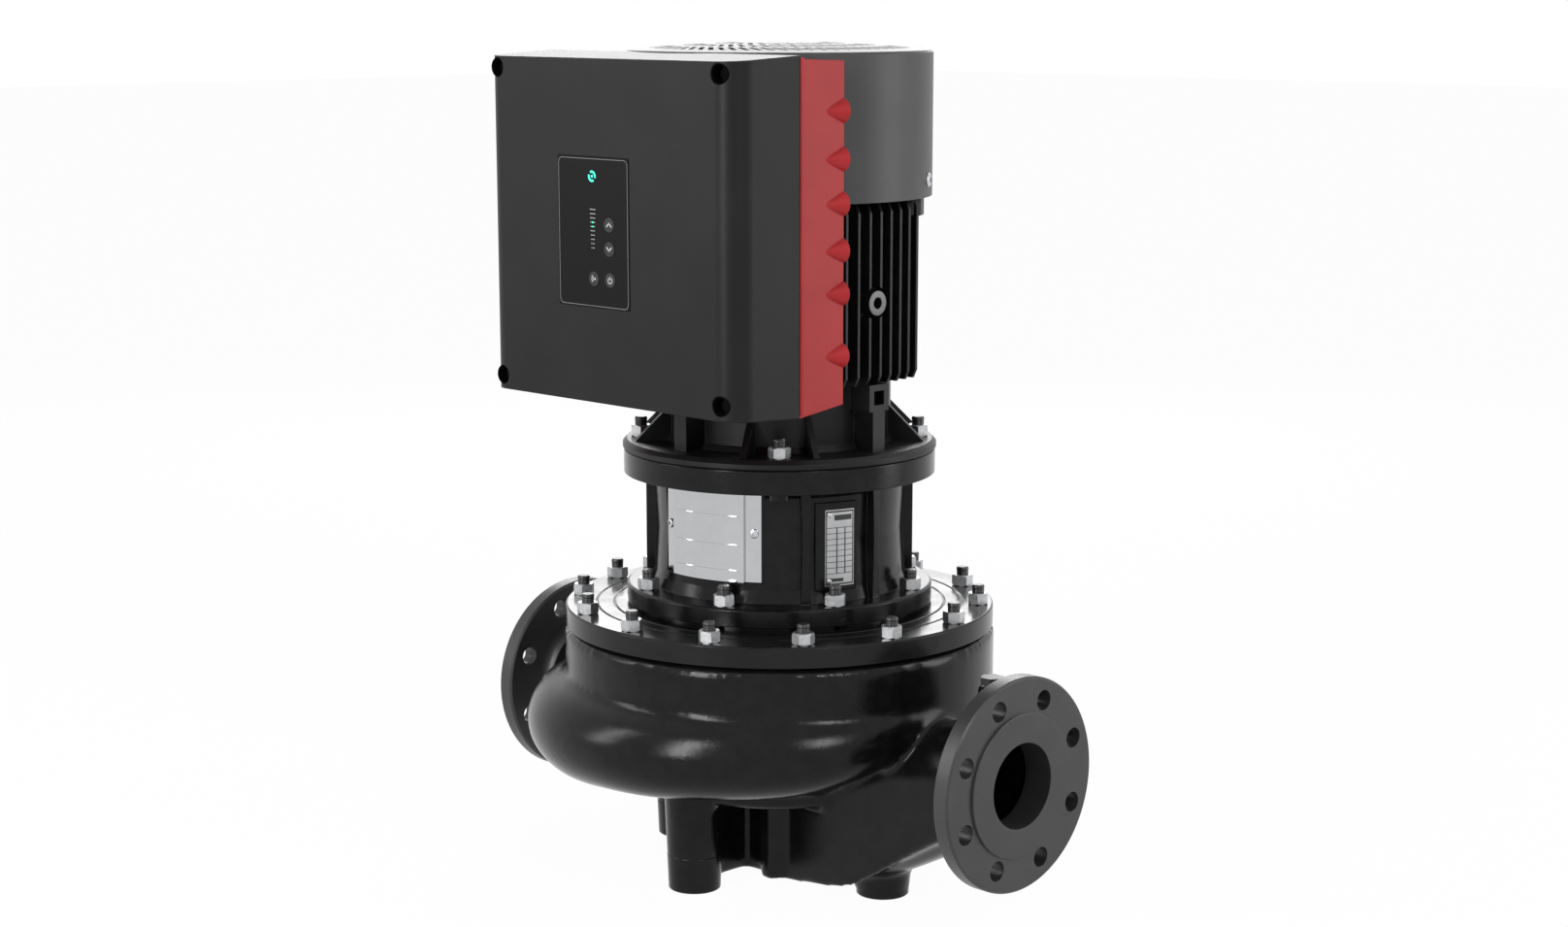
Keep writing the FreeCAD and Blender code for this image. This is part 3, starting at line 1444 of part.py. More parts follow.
panel_holes = {
    "up_button": (6.5, 639.0),
    "down_button": (6.5, 617.5),
    "radio_button": (-14.5, 590.0),
    "power_button": (7.3, 590.0),
}


def entry_cone(name, side, height):
    """Half-cone boss round a cable entry on the box's flank."""
    cone_shape = Part.makeCone(11.5, 1.5, 28.0, Vector(0, 0, 0), Vector(0, -1, 0))
    cone_shape.translate(Vector(side * (float(size.box_half_width) - 3.5), -float(size.box_rear), height))
    return shaped(name, cone_shape)


def box_base_piece():
    solids = [base_form("base_skin", 0)]
    wall = size.box_wall
    for side in (-1, 1):
        for index, height in enumerate(ENTRY_HEIGHTS):
            solids.append(entry_cone("entry_%d_%d" % (side + 2, index + 1), side, height))
    upper_height = BOX_TOP - SADDLE_STEP - 8.0
    upper_wall = cylinder("saddle_wall_high", SADDLE_HIGH + wall, upper_height, (0, 0, SADDLE_STEP))
    upper_zone = block("saddle_zone", (-70.0, -150.0, SADDLE_STEP), (70.0, -120.0, BOX_TOP - 8.0))
    solids.append(common("saddle_crown", [upper_wall, upper_zone]))
    skin = fuse("base_solid", solids)
    hollow_block = base_form("base_hollow_block", wall)
    keep_low = cylinder("saddle_keep_low", SADDLE_LOW + wall, 400.0, (0, 0, 450.0))
    keep_high = cylinder("saddle_keep_high", SADDLE_HIGH + wall, 200.0, (0, 0, SADDLE_STEP - wall))
    hollow = cut("base_hollow", hollow_block, [keep_low, keep_high])
    saddle_low = cylinder("saddle_low", SADDLE_LOW, 400.0, (0, 0, 450.0))
    saddle_high = cylinder("saddle_high", SADDLE_HIGH, 200.0, (0, 0, SADDLE_STEP))
    entries = []
    for index, height in enumerate(ENTRY_HEIGHTS):
        for side in (-1, 1):
            at = (side * (size.box_half_width - 11.0), -size.box_rear - 12.0, height)
            entries.append(cylinder("entry_bore_%d_%d" % (side + 2, index + 1), 6.0, 14.0, at, "y"))
    body = cut("base_shell", skin, [hollow, saddle_low, saddle_high] + entries)
    plinth = block("base_plinth", (-54.0, -137.0, 504.0), (54.0, -118.0, 632.0))
    return fuse("box_base", [body, plinth])


box_base = box_base_piece()


def box_screw_places():
    places = []
    for x in (-size.box_screw_x, size.box_screw_x):
        for height in (size.box_screw_low, size.box_screw_high):
            places.append((x, height))
    return places


def box_cover_piece():
    skin = cover_form("cover_skin", 0)
    hollow = cover_form("cover_hollow", size.box_wall)
    shell = cut("cover_shell", skin, [hollow])
    pillars = []
    for index, (x, height) in enumerate(box_screw_places()):
        length = size.box_front - size.box_joint - 1.0
        pillars.append(cylinder("pillar_%d" % (index + 1), size.box_pocket + 2.5, length,
                                (x, 1.0 - size.box_front, height), "y"))
    joined = fuse("cover_with_pillars", [shell] + pillars)
    inside = common("cover_inside", [joined, cover_form("cover_limit", 0)])
    notch_height = BOX_TOP - SADDLE_STEP + 20.0
    notch_radius = SADDLE_HIGH + size.box_wall + 0.5
    tools = [cylinder("cover_notch", notch_radius, notch_height, (0, 0, SADDLE_STEP - 4.0))]
    for index, (x, height) in enumerate(box_screw_places()):
        name = "pocket_%d" % (index + 1)
        tools.append(cylinder(name, size.box_pocket, size.box_screw_seat + 10.0,
                              (x, -size.box_front - 10.0, height), "y"))
        bore_start = size.box_screw_seat - size.box_front - 1.0
        tools.append(cylinder(name + "_bore", 2.6, 75.0, (x, bore_start, height), "y"))
    low = (size.panel_left, -size.box_front - 1.0, size.panel_bottom)
    high = (size.panel_right, -size.box_front + size.panel_depth, size.panel_top)
    tools.append(block("panel_recess", low, high))
    for name, (x, z) in panel_holes.items():
        at = (x, -size.box_front - 2.0, z)
        tools.append(cylinder(name + "_hole", size.button_radius + 0.4, 12.0, at, "y"))
    return cut("box_cover", inside, tools)


box_cover = box_cover_piece()


def box_screws_piece():
    solids = []
    seat = float(size.box_screw_seat) - float(size.box_front)
    for x, height in box_screw_places():
        head = Part.makeCylinder(5.0, 5.0, Vector(x, seat - 5.0, height), Vector(0, 1, 0))
        shank = Part.makeCylinder(2.5, 65.0, Vector(x, seat, height), Vector(0, 1, 0))
        solids.append(head.fuse(shank))
    return shaped("box_screws", Part.makeCompound(solids))


box_screws = box_screws_piece()


def display_panel_piece():
    front = -size.box_front - 0.5
    margin = 0.1
    plate = block("panel_plate", (size.panel_left + margin, front, size.panel_bottom + margin),
                  (size.panel_right - margin, front + size.panel_depth + 0.4, size.panel_top - margin))
    holes = []
    for name, (x, z) in panel_holes.items():
        holes.append(cylinder(name + "_panel_hole", size.button_radius + 0.4, 6.0, (x, front - 2.0, z), "y"))
    holes.append(cylinder("light_hole", 5.5, 6.0, (-15.8, front - 2.0, 681.0), "y"))
    return cut("display_panel", plate, holes)


display_panel = display_panel_piece()
indicator_light = cylinder("indicator_light", 5.4, 2.0, (-15.8, -size.box_front - 0.5, 681.0), "y")


def button(name, x, z):
    """Cap in the panel with a wider flange behind the cover."""
    front = -size.box_front - 0.9
    cap = cylinder(name + "_cap", size.button_radius, 9.0, (x, front, z), "y")
    behind = (x, -size.box_front + size.box_wall + 1.4, z)
    flange = cylinder(name + "_flange", size.button_radius + 1.6, 1.6, behind, "y")
    return fuse(name, [cap, flange])


buttons = [button(name, x, z) for name, (x, z) in panel_holes.items()]

board_front = -size.box_front + 14.0
circuit_board = block("circuit_board", (-120.0, board_front, 500.0), (110.0, board_front + 1.6, 770.0))
terminal_block = block("terminal_block", (-60.0, board_front + 1.6, 520.0), (60.0, board_front + 20.0, 545.0))


def level_lights_piece():
    solids = []
    for index in range(10):
        z = 617.0 + index * 3.8
        solids.append(Part.makeBox(5.0, 0.4, 1.0, Vector(-17.7, -float(size.box_front) - 0.9, z)))
    return shaped("level_lights", Part.makeCompound(solids))


level_lights = level_lights_piece()

# Every finished piece, under the name of its file

PIECES = [
    pump_housing, pump_cover, cover_gasket, wear_ring, cover_studs, cover_nuts, gauge_plug, drain_plug,
    motor_stool, stool_studs, stool_nuts, front_coupling_guard, rear_coupling_guard, guard_screws, name_plate,
    pump_shaft, motor_shaft, impeller, impeller_key, impeller_washer, impeller_nut,
    seal_rotating_ring, seal_collar, seal_seat, coupling_half_a, coupling_half_b, coupling_screws,
    drive_end_shield, motor_studs, motor_nuts, stator_housing, stator_core, stator_windings, rotor_core,
    rear_end_shield, lower_bearing_outer_ring, lower_bearing_inner_ring, lower_bearing_balls,
    upper_bearing_outer_ring, upper_bearing_inner_ring, upper_bearing_balls, cooling_fan, fan_cover,
    fan_cover_screws, box_base, box_cover, box_screws, display_panel, indicator_light, circuit_board,
    terminal_block, level_lights,
] + buttons

doc.recompute()
for piece in doc.Objects:
    if "Invalid" in piece.State or "Error" in piece.State:
        raise RuntimeError("%s did not compute: %s" % (piece.Name, piece.State))

os.makedirs("parts", exist_ok=True)
for piece in PIECES:
    if piece.Shape.isNull() or not piece.Shape.isValid():
        raise RuntimeError(piece.Label + " has no valid shape")
    if not piece.Shape.Solids:
        raise RuntimeError(piece.Label + " has no solid")
for piece in PIECES:
    piece.Shape.exportStep("parts/%s.step" % piece.Label)
    print("%-28s solids %2d  volume %10.0f" % (piece.Label, len(piece.Shape.Solids), piece.Shape.Volume))
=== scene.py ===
import json
import math

import bpy
from mathutils import Matrix, Vector


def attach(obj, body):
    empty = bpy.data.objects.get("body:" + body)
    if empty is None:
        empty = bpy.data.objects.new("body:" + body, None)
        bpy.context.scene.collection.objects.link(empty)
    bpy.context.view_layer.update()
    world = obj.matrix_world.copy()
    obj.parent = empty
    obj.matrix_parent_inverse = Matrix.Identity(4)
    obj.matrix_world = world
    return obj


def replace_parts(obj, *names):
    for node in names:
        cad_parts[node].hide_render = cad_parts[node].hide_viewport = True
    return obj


# Looks of an in-line pump with a flanged motor and a control box.
# Everything is in metres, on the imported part's own axes: the shaft stands along +Z,
# the suction port looks along +X and the control box along -Y.

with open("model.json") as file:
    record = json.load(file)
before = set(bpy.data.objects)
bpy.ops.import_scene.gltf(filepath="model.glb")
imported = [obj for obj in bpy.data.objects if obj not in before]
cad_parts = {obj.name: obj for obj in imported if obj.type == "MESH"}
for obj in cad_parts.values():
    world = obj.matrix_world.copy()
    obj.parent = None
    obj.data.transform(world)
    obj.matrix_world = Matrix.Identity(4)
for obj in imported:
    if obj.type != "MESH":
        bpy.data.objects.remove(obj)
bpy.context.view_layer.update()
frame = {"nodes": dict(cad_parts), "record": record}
cad = frame["nodes"]
mm = 0.001

# Sizes and places, most of them the solids' own

PORT_HEIGHT = 140 * mm
PORT_BORE = 40 * mm
NECK_RADIUS = 52 * mm
FLANGE_RADIUS = 100 * mm
FLANGE_BACK = 290 * mm
FLANGE_FACE = 307.5 * mm
RAISED_FACE = 67.5 * mm
PORT_CIRCLE = 80 * mm
PORT_HOLES = 8
PORT_FIRST_HOLE = 22.5
SUCTION_HOLE = 9.5 * mm
DISCHARGE_HOLE = 9 * mm
FOOT_RADIUS = 25 * mm
FOOT_THREAD = 8 * mm
FOOT_PLACES = (
    ("front_foot_end", 0.0, -115 * mm),
    ("rear_foot_end", 0.0, 115 * mm),
    ("suction_foot_end", 139 * mm, 0.0),
    ("discharge_foot_end", -139 * mm, 0.0),
)
GUARD_ANGLES = (-79.5, 100.5)
GUARD_SCREW_HALF = 23.3
GUARD_SCREW_SEAT = (119.7 * mm, 352 * mm)
COVER_SCREW_ANGLES = (28.0, 118.0, 208.0)
COVER_SCREW_SEAT = (143.6 * mm, 671 * mm)
LUG_PLACE = (124 * mm, 650 * mm)
LUG_SIZE = (30 * mm, 13 * mm, 24 * mm)
PLATE_RADIUS = 122.4 * mm
PLATE_START = -24.8
PLATE_SWEEP = 14.1
PLATE_LOW = 301.3 * mm
PLATE_HIGH = 373.2 * mm
BOSS_FACE = (132 * mm, -5 * mm, 562.6 * mm)
STUD_RADIUS = 6 * mm
NUT_CORNER = 10.4 * mm
NUT_HEIGHT = 10.8 * mm
STUD_STAND = 8 * mm
THREAD_PITCH = 1.75 * mm
COVER_RING = (192.2 * mm, 265 * mm, 14, -90.0)
STOOL_RING = (134.5 * mm, 286 * mm, 8, 22.5)
MOTOR_RING = (132.5 * mm, 425 * mm, 4, -45.0)
BOX_HALF = 164 * mm
POCKET_ACROSS = 146.0 * mm
POCKET_LEVELS = (491.0 * mm, 774.0 * mm)
POCKET_SEAT = -206.5 * mm
RIDGE_STAND = 2.4 * mm
RIDGE_THICKNESS = 4.0 * mm
RIDGE_FRONT = -136.4 * mm
RIDGE_LOW = 476 * mm
RIDGE_HIGH = 786.5 * mm
PANEL_FRONT = -220.0 * mm
PANEL_LOW = (-62.4 * mm, 564.1 * mm)
PANEL_HIGH = (32.4 * mm, 697.9 * mm)
RING_LIGHT_PLACE = (-15.8 * mm, 681.0 * mm)
LEVEL_COLUMN = -15.2 * mm
LEVEL_FOOT = 617.5 * mm
LEVEL_PITCH = 3.8 * mm
LEVEL_ROWS = 10
LIT_ROWS = (5, 6)
MARK_DEPTH = 0.12 * mm
KEY_FRONT = -220.4 * mm
KEY_PLACES = {
    "up_key": (6.5 * mm, 639.0 * mm),
    "down_key": (6.5 * mm, 617.5 * mm),
    "radio_key": (-14.5 * mm, 590.0 * mm),
    "power_key": (7.3 * mm, 590.0 * mm),
}


# Working with one piece at a time

def deselect():
    bpy.ops.object.select_all(action="DESELECT")


def work_on(piece):
    deselect()
    piece.select_set(True)
    bpy.context.view_layer.objects.active = piece
    return piece


def new_piece(name):
    """Takes the primitive that was just added and names it."""
    piece = bpy.context.active_object
    piece.name = name
    piece.data.name = name
    return piece


def settle(piece):
    """Puts the piece's place, turn and size into its mesh."""
    work_on(piece)
    bpy.ops.object.transform_apply(location=True, rotation=True, scale=True)
    return piece


def apply_modifier(piece, kind, **settings):
    work_on(piece)
    modifier = piece.modifiers.new(kind.title(), kind)
    for key, value in settings.items():
        setattr(modifier, key, value)
    bpy.ops.object.modifier_apply(modifier=modifier.name)
    return piece


def pick_faces(piece, test):
    """Selects only the faces whose centre passes the test, and opens the piece in face mode."""
    work_on(piece)
    bpy.ops.object.mode_set(mode="EDIT")
    bpy.ops.mesh.select_mode(type="FACE")
    bpy.ops.mesh.select_all(action="DESELECT")
    bpy.ops.object.mode_set(mode="OBJECT")
    for polygon in piece.data.polygons:
        polygon.select = test(polygon.center)
    bpy.ops.object.mode_set(mode="EDIT")


def close_edit():
    bpy.ops.object.mode_set(mode="OBJECT")


def outward(piece):
    """Merges doubles and turns all faces outwards."""
    work_on(piece)
    bpy.ops.object.mode_set(mode="EDIT")
    bpy.ops.mesh.select_all(action="SELECT")
    bpy.ops.mesh.remove_doubles(threshold=0.00001)
    bpy.ops.mesh.normals_make_consistent(inside=False)
    bpy.ops.object.mode_set(mode="OBJECT")
    return piece


def rounded(piece, width, segments, angle):
    """Small rounds on every edge sharper than the angle."""
    apply_modifier(piece, "BEVEL", width=width, segments=segments, limit_method="ANGLE",
                   angle_limit=math.radians(angle))
    return piece


def smooth(piece, angle):
    """Shades the piece smooth, with edges sharper than the angle kept crisp."""
    work_on(piece)
    bpy.ops.object.shade_smooth_by_angle(angle=math.radians(angle))
    return piece


def cut_with(piece, tool, operation="DIFFERENCE"):
    """Boolean of the piece with the tool, which is used up."""
    apply_modifier(piece, "BOOLEAN", object=tool, operation=operation, solver="EXACT")
    bpy.data.objects.remove(tool)
    return piece


def join(name, pieces):
    work_on(pieces[0])
    for piece in pieces:
        piece.select_set(True)
    if len(pieces) > 1:
        bpy.ops.object.join()
    pieces[0].name = name
    pieces[0].data.name = name
    return settle(pieces[0])


def copy_to(piece, turn, move):
    """Copy with its own mesh, turned about the shaft and then moved."""
    twin = piece.copy()
    twin.data = piece.data.copy()
    bpy.context.scene.collection.objects.link(twin)
    twin.data.transform(Matrix.Translation(move) @ Matrix.Rotation(math.radians(turn), 4, "Z"))
    return twin


def dress(piece, material, body="pump"):
    """Gives the piece its material and slot, and lets it move with its body."""
    piece.data.materials.clear()
    piece.data.materials.append(material)
    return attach(piece, body)


def lathe(name, outline, steps):
    """Closed outline of (radius, height) points, drawn corner by corner and spun once round Z."""
    deselect()
    bpy.ops.mesh.primitive_plane_add(size=1 * mm)
    piece = new_piece(name)
    bpy.ops.object.mode_set(mode="EDIT")
    bpy.ops.mesh.select_mode(type="VERT")
    bpy.ops.mesh.select_all(action="SELECT")
    bpy.ops.mesh.merge(type="CENTER")
    bpy.ops.transform.translate(value=(outline[0][0], 0, outline[0][1]))
    for before, after in zip(outline, outline[1:] + outline[:1]):
        step = (after[0] - before[0], 0, after[1] - before[1])
        bpy.ops.mesh.extrude_region_move(TRANSFORM_OT_translate={"value": step})
    bpy.ops.mesh.select_all(action="SELECT")
    bpy.ops.mesh.spin(steps=steps, angle=math.tau, center=(0, 0, 0), axis=(0, 0, 1))
    close_edit()
    return outward(piece)


def ring_places(radius, height, count, first_angle):
    """Angle in degrees and place of each item on a ring round Z."""
    places = []
    for index in range(count):
        angle = first_angle + index * 360.0 / count
        turn = math.radians(angle)
        places.append((angle, Vector((radius * math.cos(turn), radius * math.sin(turn), height))))
    return places


# Finishes

def finish_nodes(name, colour, roughness, metallic=0.0, specular=0.5):
    material = bpy.data.materials.new(name)
    material.use_nodes = True
    surface = material.node_tree.nodes["Principled BSDF"]
    surface.inputs["Base Color"].default_value = (*colour, 1.0)
    surface.inputs["Roughness"].default_value = roughness
    surface.inputs["Metallic"].default_value = metallic
    surface.inputs["Specular IOR Level"].default_value = specular
    return material, surface


def link(material, source, target):
    material.node_tree.links.new(source, target)


def speckle(material, size, detail, stretch=(1.0, 1.0, 1.0)):
    """Noise on the piece's own coordinates, with grains about size across."""
    nodes = material.node_tree.nodes
    place = nodes.new("ShaderNodeTexCoord")
    mapping = nodes.new("ShaderNodeMapping")
    mapping.inputs["Scale"].default_value = stretch
    noise = nodes.new("ShaderNodeTexNoise")
    noise.inputs["Scale"].default_value = 1.0 / size
    noise.inputs["Detail"].default_value = detail
    link(material, place.outputs["Object"], mapping.inputs["Vector"])
    link(material, mapping.outputs["Vector"], noise.inputs["Vector"])
    return noise.outputs["Fac"]


def spread(material, source, low, high):
    """Maps a noise to the range from low to high."""
    node = material.node_tree.nodes.new("ShaderNodeMapRange")
    node.inputs["From Min"].default_value = 0.3
    node.inputs["From Max"].default_value = 0.7
    node.inputs["To Min"].default_value = low
    node.inputs["To Max"].default_value = high
    link(material, source, node.inputs["Value"])
    return node.outputs["Result"]


def two_tone(material, surface, source, dark, light):
    """Colour that drifts between two shades with the noise."""
    node = material.node_tree.nodes.new("ShaderNodeMix")
    node.data_type = "RGBA"
    node.inputs[6].default_value = (*dark, 1.0)
    node.inputs[7].default_value = (*light, 1.0)
    link(material, spread(material, source, 0.0, 1.0), node.inputs[0])
    link(material, node.outputs[2], surface.inputs["Base Color"])


def relief(material, surface, layers, edge=0.0):
    """Bump from one or more (noise, height) layers over each other, on edges softened by the radius edge."""
    last = None
    if edge:
        softened = material.node_tree.nodes.new("ShaderNodeBevel")
        softened.samples = 6
        softened.inputs["Radius"].default_value = edge
        last = softened.outputs["Normal"]
    for source, height in layers:
        node = material.node_tree.nodes.new("ShaderNodeBump")
        node.inputs["Distance"].default_value = height
        link(material, source, node.inputs["Height"])
        if last is not None:
            link(material, last, node.inputs["Normal"])
        last = node.outputs["Normal"]
    link(material, last, surface.inputs["Normal"])


def cast_black():
    """Semi-gloss black paint over a sand-cast skin."""
    material, surface = finish_nodes("black_paint_on_casting", (0.005, 0.005, 0.0052), 0.22, specular=0.18)
    sand = speckle(material, 1.3 * mm, 3.0)
    lumps = speckle(material, 16 * mm, 2.0)
    two_tone(material, surface, lumps, (0.003, 0.003, 0.0031), (0.006, 0.006, 0.0062))
    link(material, spread(material, sand, 0.11, 0.2), surface.inputs["Roughness"])
    relief(material, surface, [(lumps, 0.06 * mm), (sand, 0.13 * mm)], 1.5 * mm)
    return material


def flange_black_with_painted_sheen():
    """Black paint over a turned flange, which shines more evenly than the casting; its base colour is six
    times the casting's black as a painted sheen.
    """
    material, surface = finish_nodes("black_paint_on_flange_with_painted_sheen", (0.030, 0.030, 0.0302), 0.36, specular=0.4)
    grain = speckle(material, 1.2 * mm, 4.0)
    patches = speckle(material, 35 * mm, 2.0)
    two_tone(material, surface, patches, (0.026, 0.026, 0.0262), (0.034, 0.034, 0.0342))
    link(material, spread(material, grain, 0.3, 0.42), surface.inputs["Roughness"])
    relief(material, surface, [(grain, 0.08 * mm)], 1.0 * mm)
    return material


def machined_black():
    """Smooth black paint on a turned face."""
    material, surface = finish_nodes("black_paint_on_turned_face", (0.005, 0.005, 0.0052), 0.2, specular=0.22)
    fine = speckle(material, 0.9 * mm, 3.0)
    patches = speckle(material, 45 * mm, 2.0)
    two_tone(material, surface, patches, (0.004, 0.004, 0.0042), (0.007, 0.007, 0.0072))
    link(material, spread(material, patches, 0.13, 0.24), surface.inputs["Roughness"])
    relief(material, surface, [(fine, 0.02 * mm)], 0.8 * mm)
    return material


def motor_black():
    """Black paint on the die-cast motor frame."""
    material, surface = finish_nodes("black_paint_on_motor", (0.006, 0.006, 0.0062), 0.38, specular=0.2)
    grain = speckle(material, 1.0 * mm, 4.0)
    patches = speckle(material, 30 * mm, 2.0)
    two_tone(material, surface, patches, (0.004, 0.004, 0.0042), (0.008, 0.008, 0.0082))
    link(material, spread(material, grain, 0.32, 0.45), surface.inputs["Roughness"])
    relief(material, surface, [(grain, 0.05 * mm)], 1.0 * mm)
    return material


def fan_cover_grey():
    """Dark grey satin paint on pressed sheet."""
    material, surface = finish_nodes("dark_grey_satin_paint", (0.050, 0.050, 0.0505), 0.42, specular=0.28)
    grain = speckle(material, 0.7 * mm, 3.0)
    patches = speckle(material, 60 * mm, 2.0)
    two_tone(material, surface, patches, (0.046, 0.046, 0.0465), (0.055, 0.055, 0.0555))
    link(material, spread(material, grain, 0.37, 0.47), surface.inputs["Roughness"])
    relief(material, surface, [(grain, 0.02 * mm)])
    return material


def charcoal_plastic():
    """Moulded charcoal plastic with a fine spark-eroded grain."""
    material, surface = finish_nodes("charcoal_moulded_plastic", (0.012, 0.012, 0.0122), 0.42, specular=0.12)
    grain = speckle(material, 0.8 * mm, 5.0)
    patches = speckle(material, 70 * mm, 2.0)
    two_tone(material, surface, patches, (0.009, 0.009, 0.0092), (0.0115, 0.0115, 0.0117))
    link(material, spread(material, grain, 0.36, 0.46), surface.inputs["Roughness"])
    relief(material, surface, [(grain, 0.06 * mm)], 1.6 * mm)
    return material


def red_satin():
    """Red satin paint on the box's cast mid-section."""
    material, surface = finish_nodes("red_satin_paint", (0.33, 0.014, 0.016), 0.42, specular=0.22)
    grain = speckle(material, 0.9 * mm, 4.0)
    patches = speckle(material, 50 * mm, 2.0)
    two_tone(material, surface, patches, (0.31, 0.013, 0.015), (0.35, 0.016, 0.018))
    link(material, spread(material, grain, 0.37, 0.48), surface.inputs["Roughness"])
    relief(material, surface, [(grain, 0.04 * mm)], 1.2 * mm)
    return material


def zinc():
    """Bright zinc plate, a little uneven."""
    material, surface = finish_nodes("zinc_plate", (0.46, 0.465, 0.475), 0.4, metallic=1.0)
    cloud = speckle(material, 3 * mm, 3.0)
    scratch = speckle(material, 0.8 * mm, 2.0, (1.0, 1.0, 6.0))
    two_tone(material, surface, cloud, (0.40, 0.405, 0.415), (0.50, 0.505, 0.515))
    link(material, spread(material, cloud, 0.33, 0.46), surface.inputs["Roughness"])
    relief(material, surface, [(scratch, 0.01 * mm)])
    return material


def oxide_black():
    """Black-oxide steel of studs and screws."""
    material, surface = finish_nodes("black_oxide_steel", (0.012, 0.012, 0.013), 0.34, specular=0.4)
    cloud = speckle(material, 2 * mm, 3.0)
    two_tone(material, surface, cloud, (0.008, 0.008, 0.009), (0.018, 0.018, 0.019))
    link(material, spread(material, cloud, 0.24, 0.42), surface.inputs["Roughness"])
    relief(material, surface, [(cloud, 0.01 * mm)])
    return material


def bright_steel(name, colour, roughness, stretch, drift=0.88):
    """Bare metal with fine marks drawn out along one direction; drift is the darker shade's share."""
    material, surface = finish_nodes(name, colour, roughness, metallic=1.0)
    marks = speckle(material, 0.6 * mm, 3.0, stretch)
    cloud = speckle(material, 9 * mm, 2.0)
    darker = tuple(drift * part for part in colour)
    two_tone(material, surface, cloud, darker, colour)
    link(material, spread(material, marks, 0.8 * roughness, 1.25 * roughness), surface.inputs["Roughness"])
    relief(material, surface, [(marks, 0.004 * mm)])
    return material


def plain_finish(name, colour, roughness, grain_size, grain_height, metallic=0.0, specular=0.5):
    """Finish of an inner or small piece: slight colour drift, uneven gloss and fine grain."""
    material, surface = finish_nodes(name, colour, roughness, metallic, specular)
    grain = speckle(material, grain_size, 3.0)
    darker = tuple(0.85 * part for part in colour)
    two_tone(material, surface, grain, darker, colour)
    link(material, spread(material, grain, 0.85 * roughness, 1.15 * roughness), surface.inputs["Roughness"])
    relief(material, surface, [(grain, grain_height)])
    return material


def lit(name, colour, glow):
    """Lens with a light behind it."""
    material, surface = finish_nodes(name, colour, 0.25)
    cloud = speckle(material, 1.5 * mm, 2.0)
    surface.inputs["Emission Color"].default_value = (*colour, 1.0)
    surface.inputs["Emission Strength"].default_value = glow
    link(material, spread(material, cloud, 0.2, 0.3), surface.inputs["Roughness"])
    return material


FINISH = {
    "cast_paint": cast_black(),
    "cover_paint": machined_black(),
    "black_stud": oxide_black(),
    "zinc_nut": zinc(),
    "gasket": plain_finish("gasket_fibre", (0.03, 0.03, 0.03), 0.8, 0.8 * mm, 0.04 * mm),
    "bronze": bright_steel("turned_bronze", (0.50, 0.33, 0.16), 0.3, (1.0, 1.0, 12.0)),
    "cast_bare": plain_finish("bare_casting", (0.16, 0.16, 0.165), 0.55, 1.4 * mm, 0.1 * mm, metallic=0.8),
    "shaft_steel": bright_steel("ground_steel", (0.45, 0.46, 0.48), 0.25, (1.0, 1.0, 12.0)),
    "seal_face": plain_finish("lapped_ceramic", (0.08, 0.08, 0.085), 0.15, 0.6 * mm, 0.002 * mm),
    "stainless_sheet": bright_steel("bright_stainless_sheet", (0.50, 0.505, 0.515), 0.08, (1.0, 1.0, 0.1),
                                    drift=0.96),
    "plate": bright_steel("satin_aluminium", (0.42, 0.425, 0.43), 0.4, (1.0, 1.0, 0.1)),
    "motor_paint": motor_black(),
    "fan_cover_paint": fan_cover_grey(),
    "winding": plain_finish("varnished_copper", (0.45, 0.17, 0.06), 0.35, 1.2 * mm, 0.3 * mm, metallic=0.6),
    "lamination": bright_steel("stacked_sheet", (0.18, 0.18, 0.19), 0.45, (0.1, 0.1, 3.0)),
    "bearing": bright_steel("polished_steel", (0.70, 0.71, 0.72), 0.12, (1.0, 1.0, 6.0)),
    "fan_plastic": plain_finish("black_fan_plastic", (0.02, 0.02, 0.02), 0.5, 1.0 * mm, 0.04 * mm),
    "box_cover_plastic": charcoal_plastic(),
    "box_base_red": red_satin(),
    "panel_film": plain_finish("dark_film", (0.005, 0.005, 0.0052), 0.4, 0.6 * mm, 0.004 * mm, specular=0.07),
    "button_cap": plain_finish("dark_grey_key", (0.022, 0.022, 0.0225), 0.45, 0.6 * mm, 0.02 * mm,
                               specular=0.2),
    "green_light": lit("green_lens", (0.03, 0.85, 0.50), 0.9),
    "pale_mark": plain_finish("pale_print", (0.42, 0.43, 0.43), 0.5, 0.5 * mm, 0.004 * mm),
    "board": plain_finish("circuit_board_green", (0.02, 0.12, 0.05), 0.4, 1.0 * mm, 0.02 * mm),
    "terminal": plain_finish("grey_terminal_plastic", (0.35, 0.36, 0.36), 0.45, 1.0 * mm, 0.02 * mm),
    "screw_steel": bright_steel("bright_screw_steel", (0.58, 0.59, 0.61), 0.22, (1.0, 1.0, 1.0)),
    "black_screw": plain_finish("black_screw_steel", (0.015, 0.015, 0.016), 0.4, 0.8 * mm, 0.01 * mm),
}

# The port flanges' black is lighter than the casting's black, a painted sheen.
FLANGE_PAINT_WITH_PAINTED_SHEEN = flange_black_with_painted_sheen()
DIM_PRINT = plain_finish("dim_print", (0.17, 0.173, 0.175), 0.5, 0.5 * mm, 0.004 * mm, specular=0.2)
# Near-black with almost no sheen: painted shade, given to the box screws and the cups deep in the cover's
# screw pockets.
PAINTED_SHADE_BLACK = plain_finish("painted_shade_black_in_pockets", (0.003, 0.003, 0.003), 0.85, 0.8 * mm, 0.01 * mm,
                          specular=0.04)
OTHER_FINISH = {
    # The screws deep in the cover's pockets are coloured with the painted shade black.
    "box_screws": PAINTED_SHADE_BLACK,
    "indicator_light": FINISH["panel_film"],
}

for subpart in frame["record"]["subparts"]:
    name = subpart["node"]
    for material_slot in cad[name].material_slots:
        material_slot.material = OTHER_FINISH.get(name, FINISH[subpart["material_slot"]])


# Housing casting: the solid's own form, with soft casting rounds where its parts meet

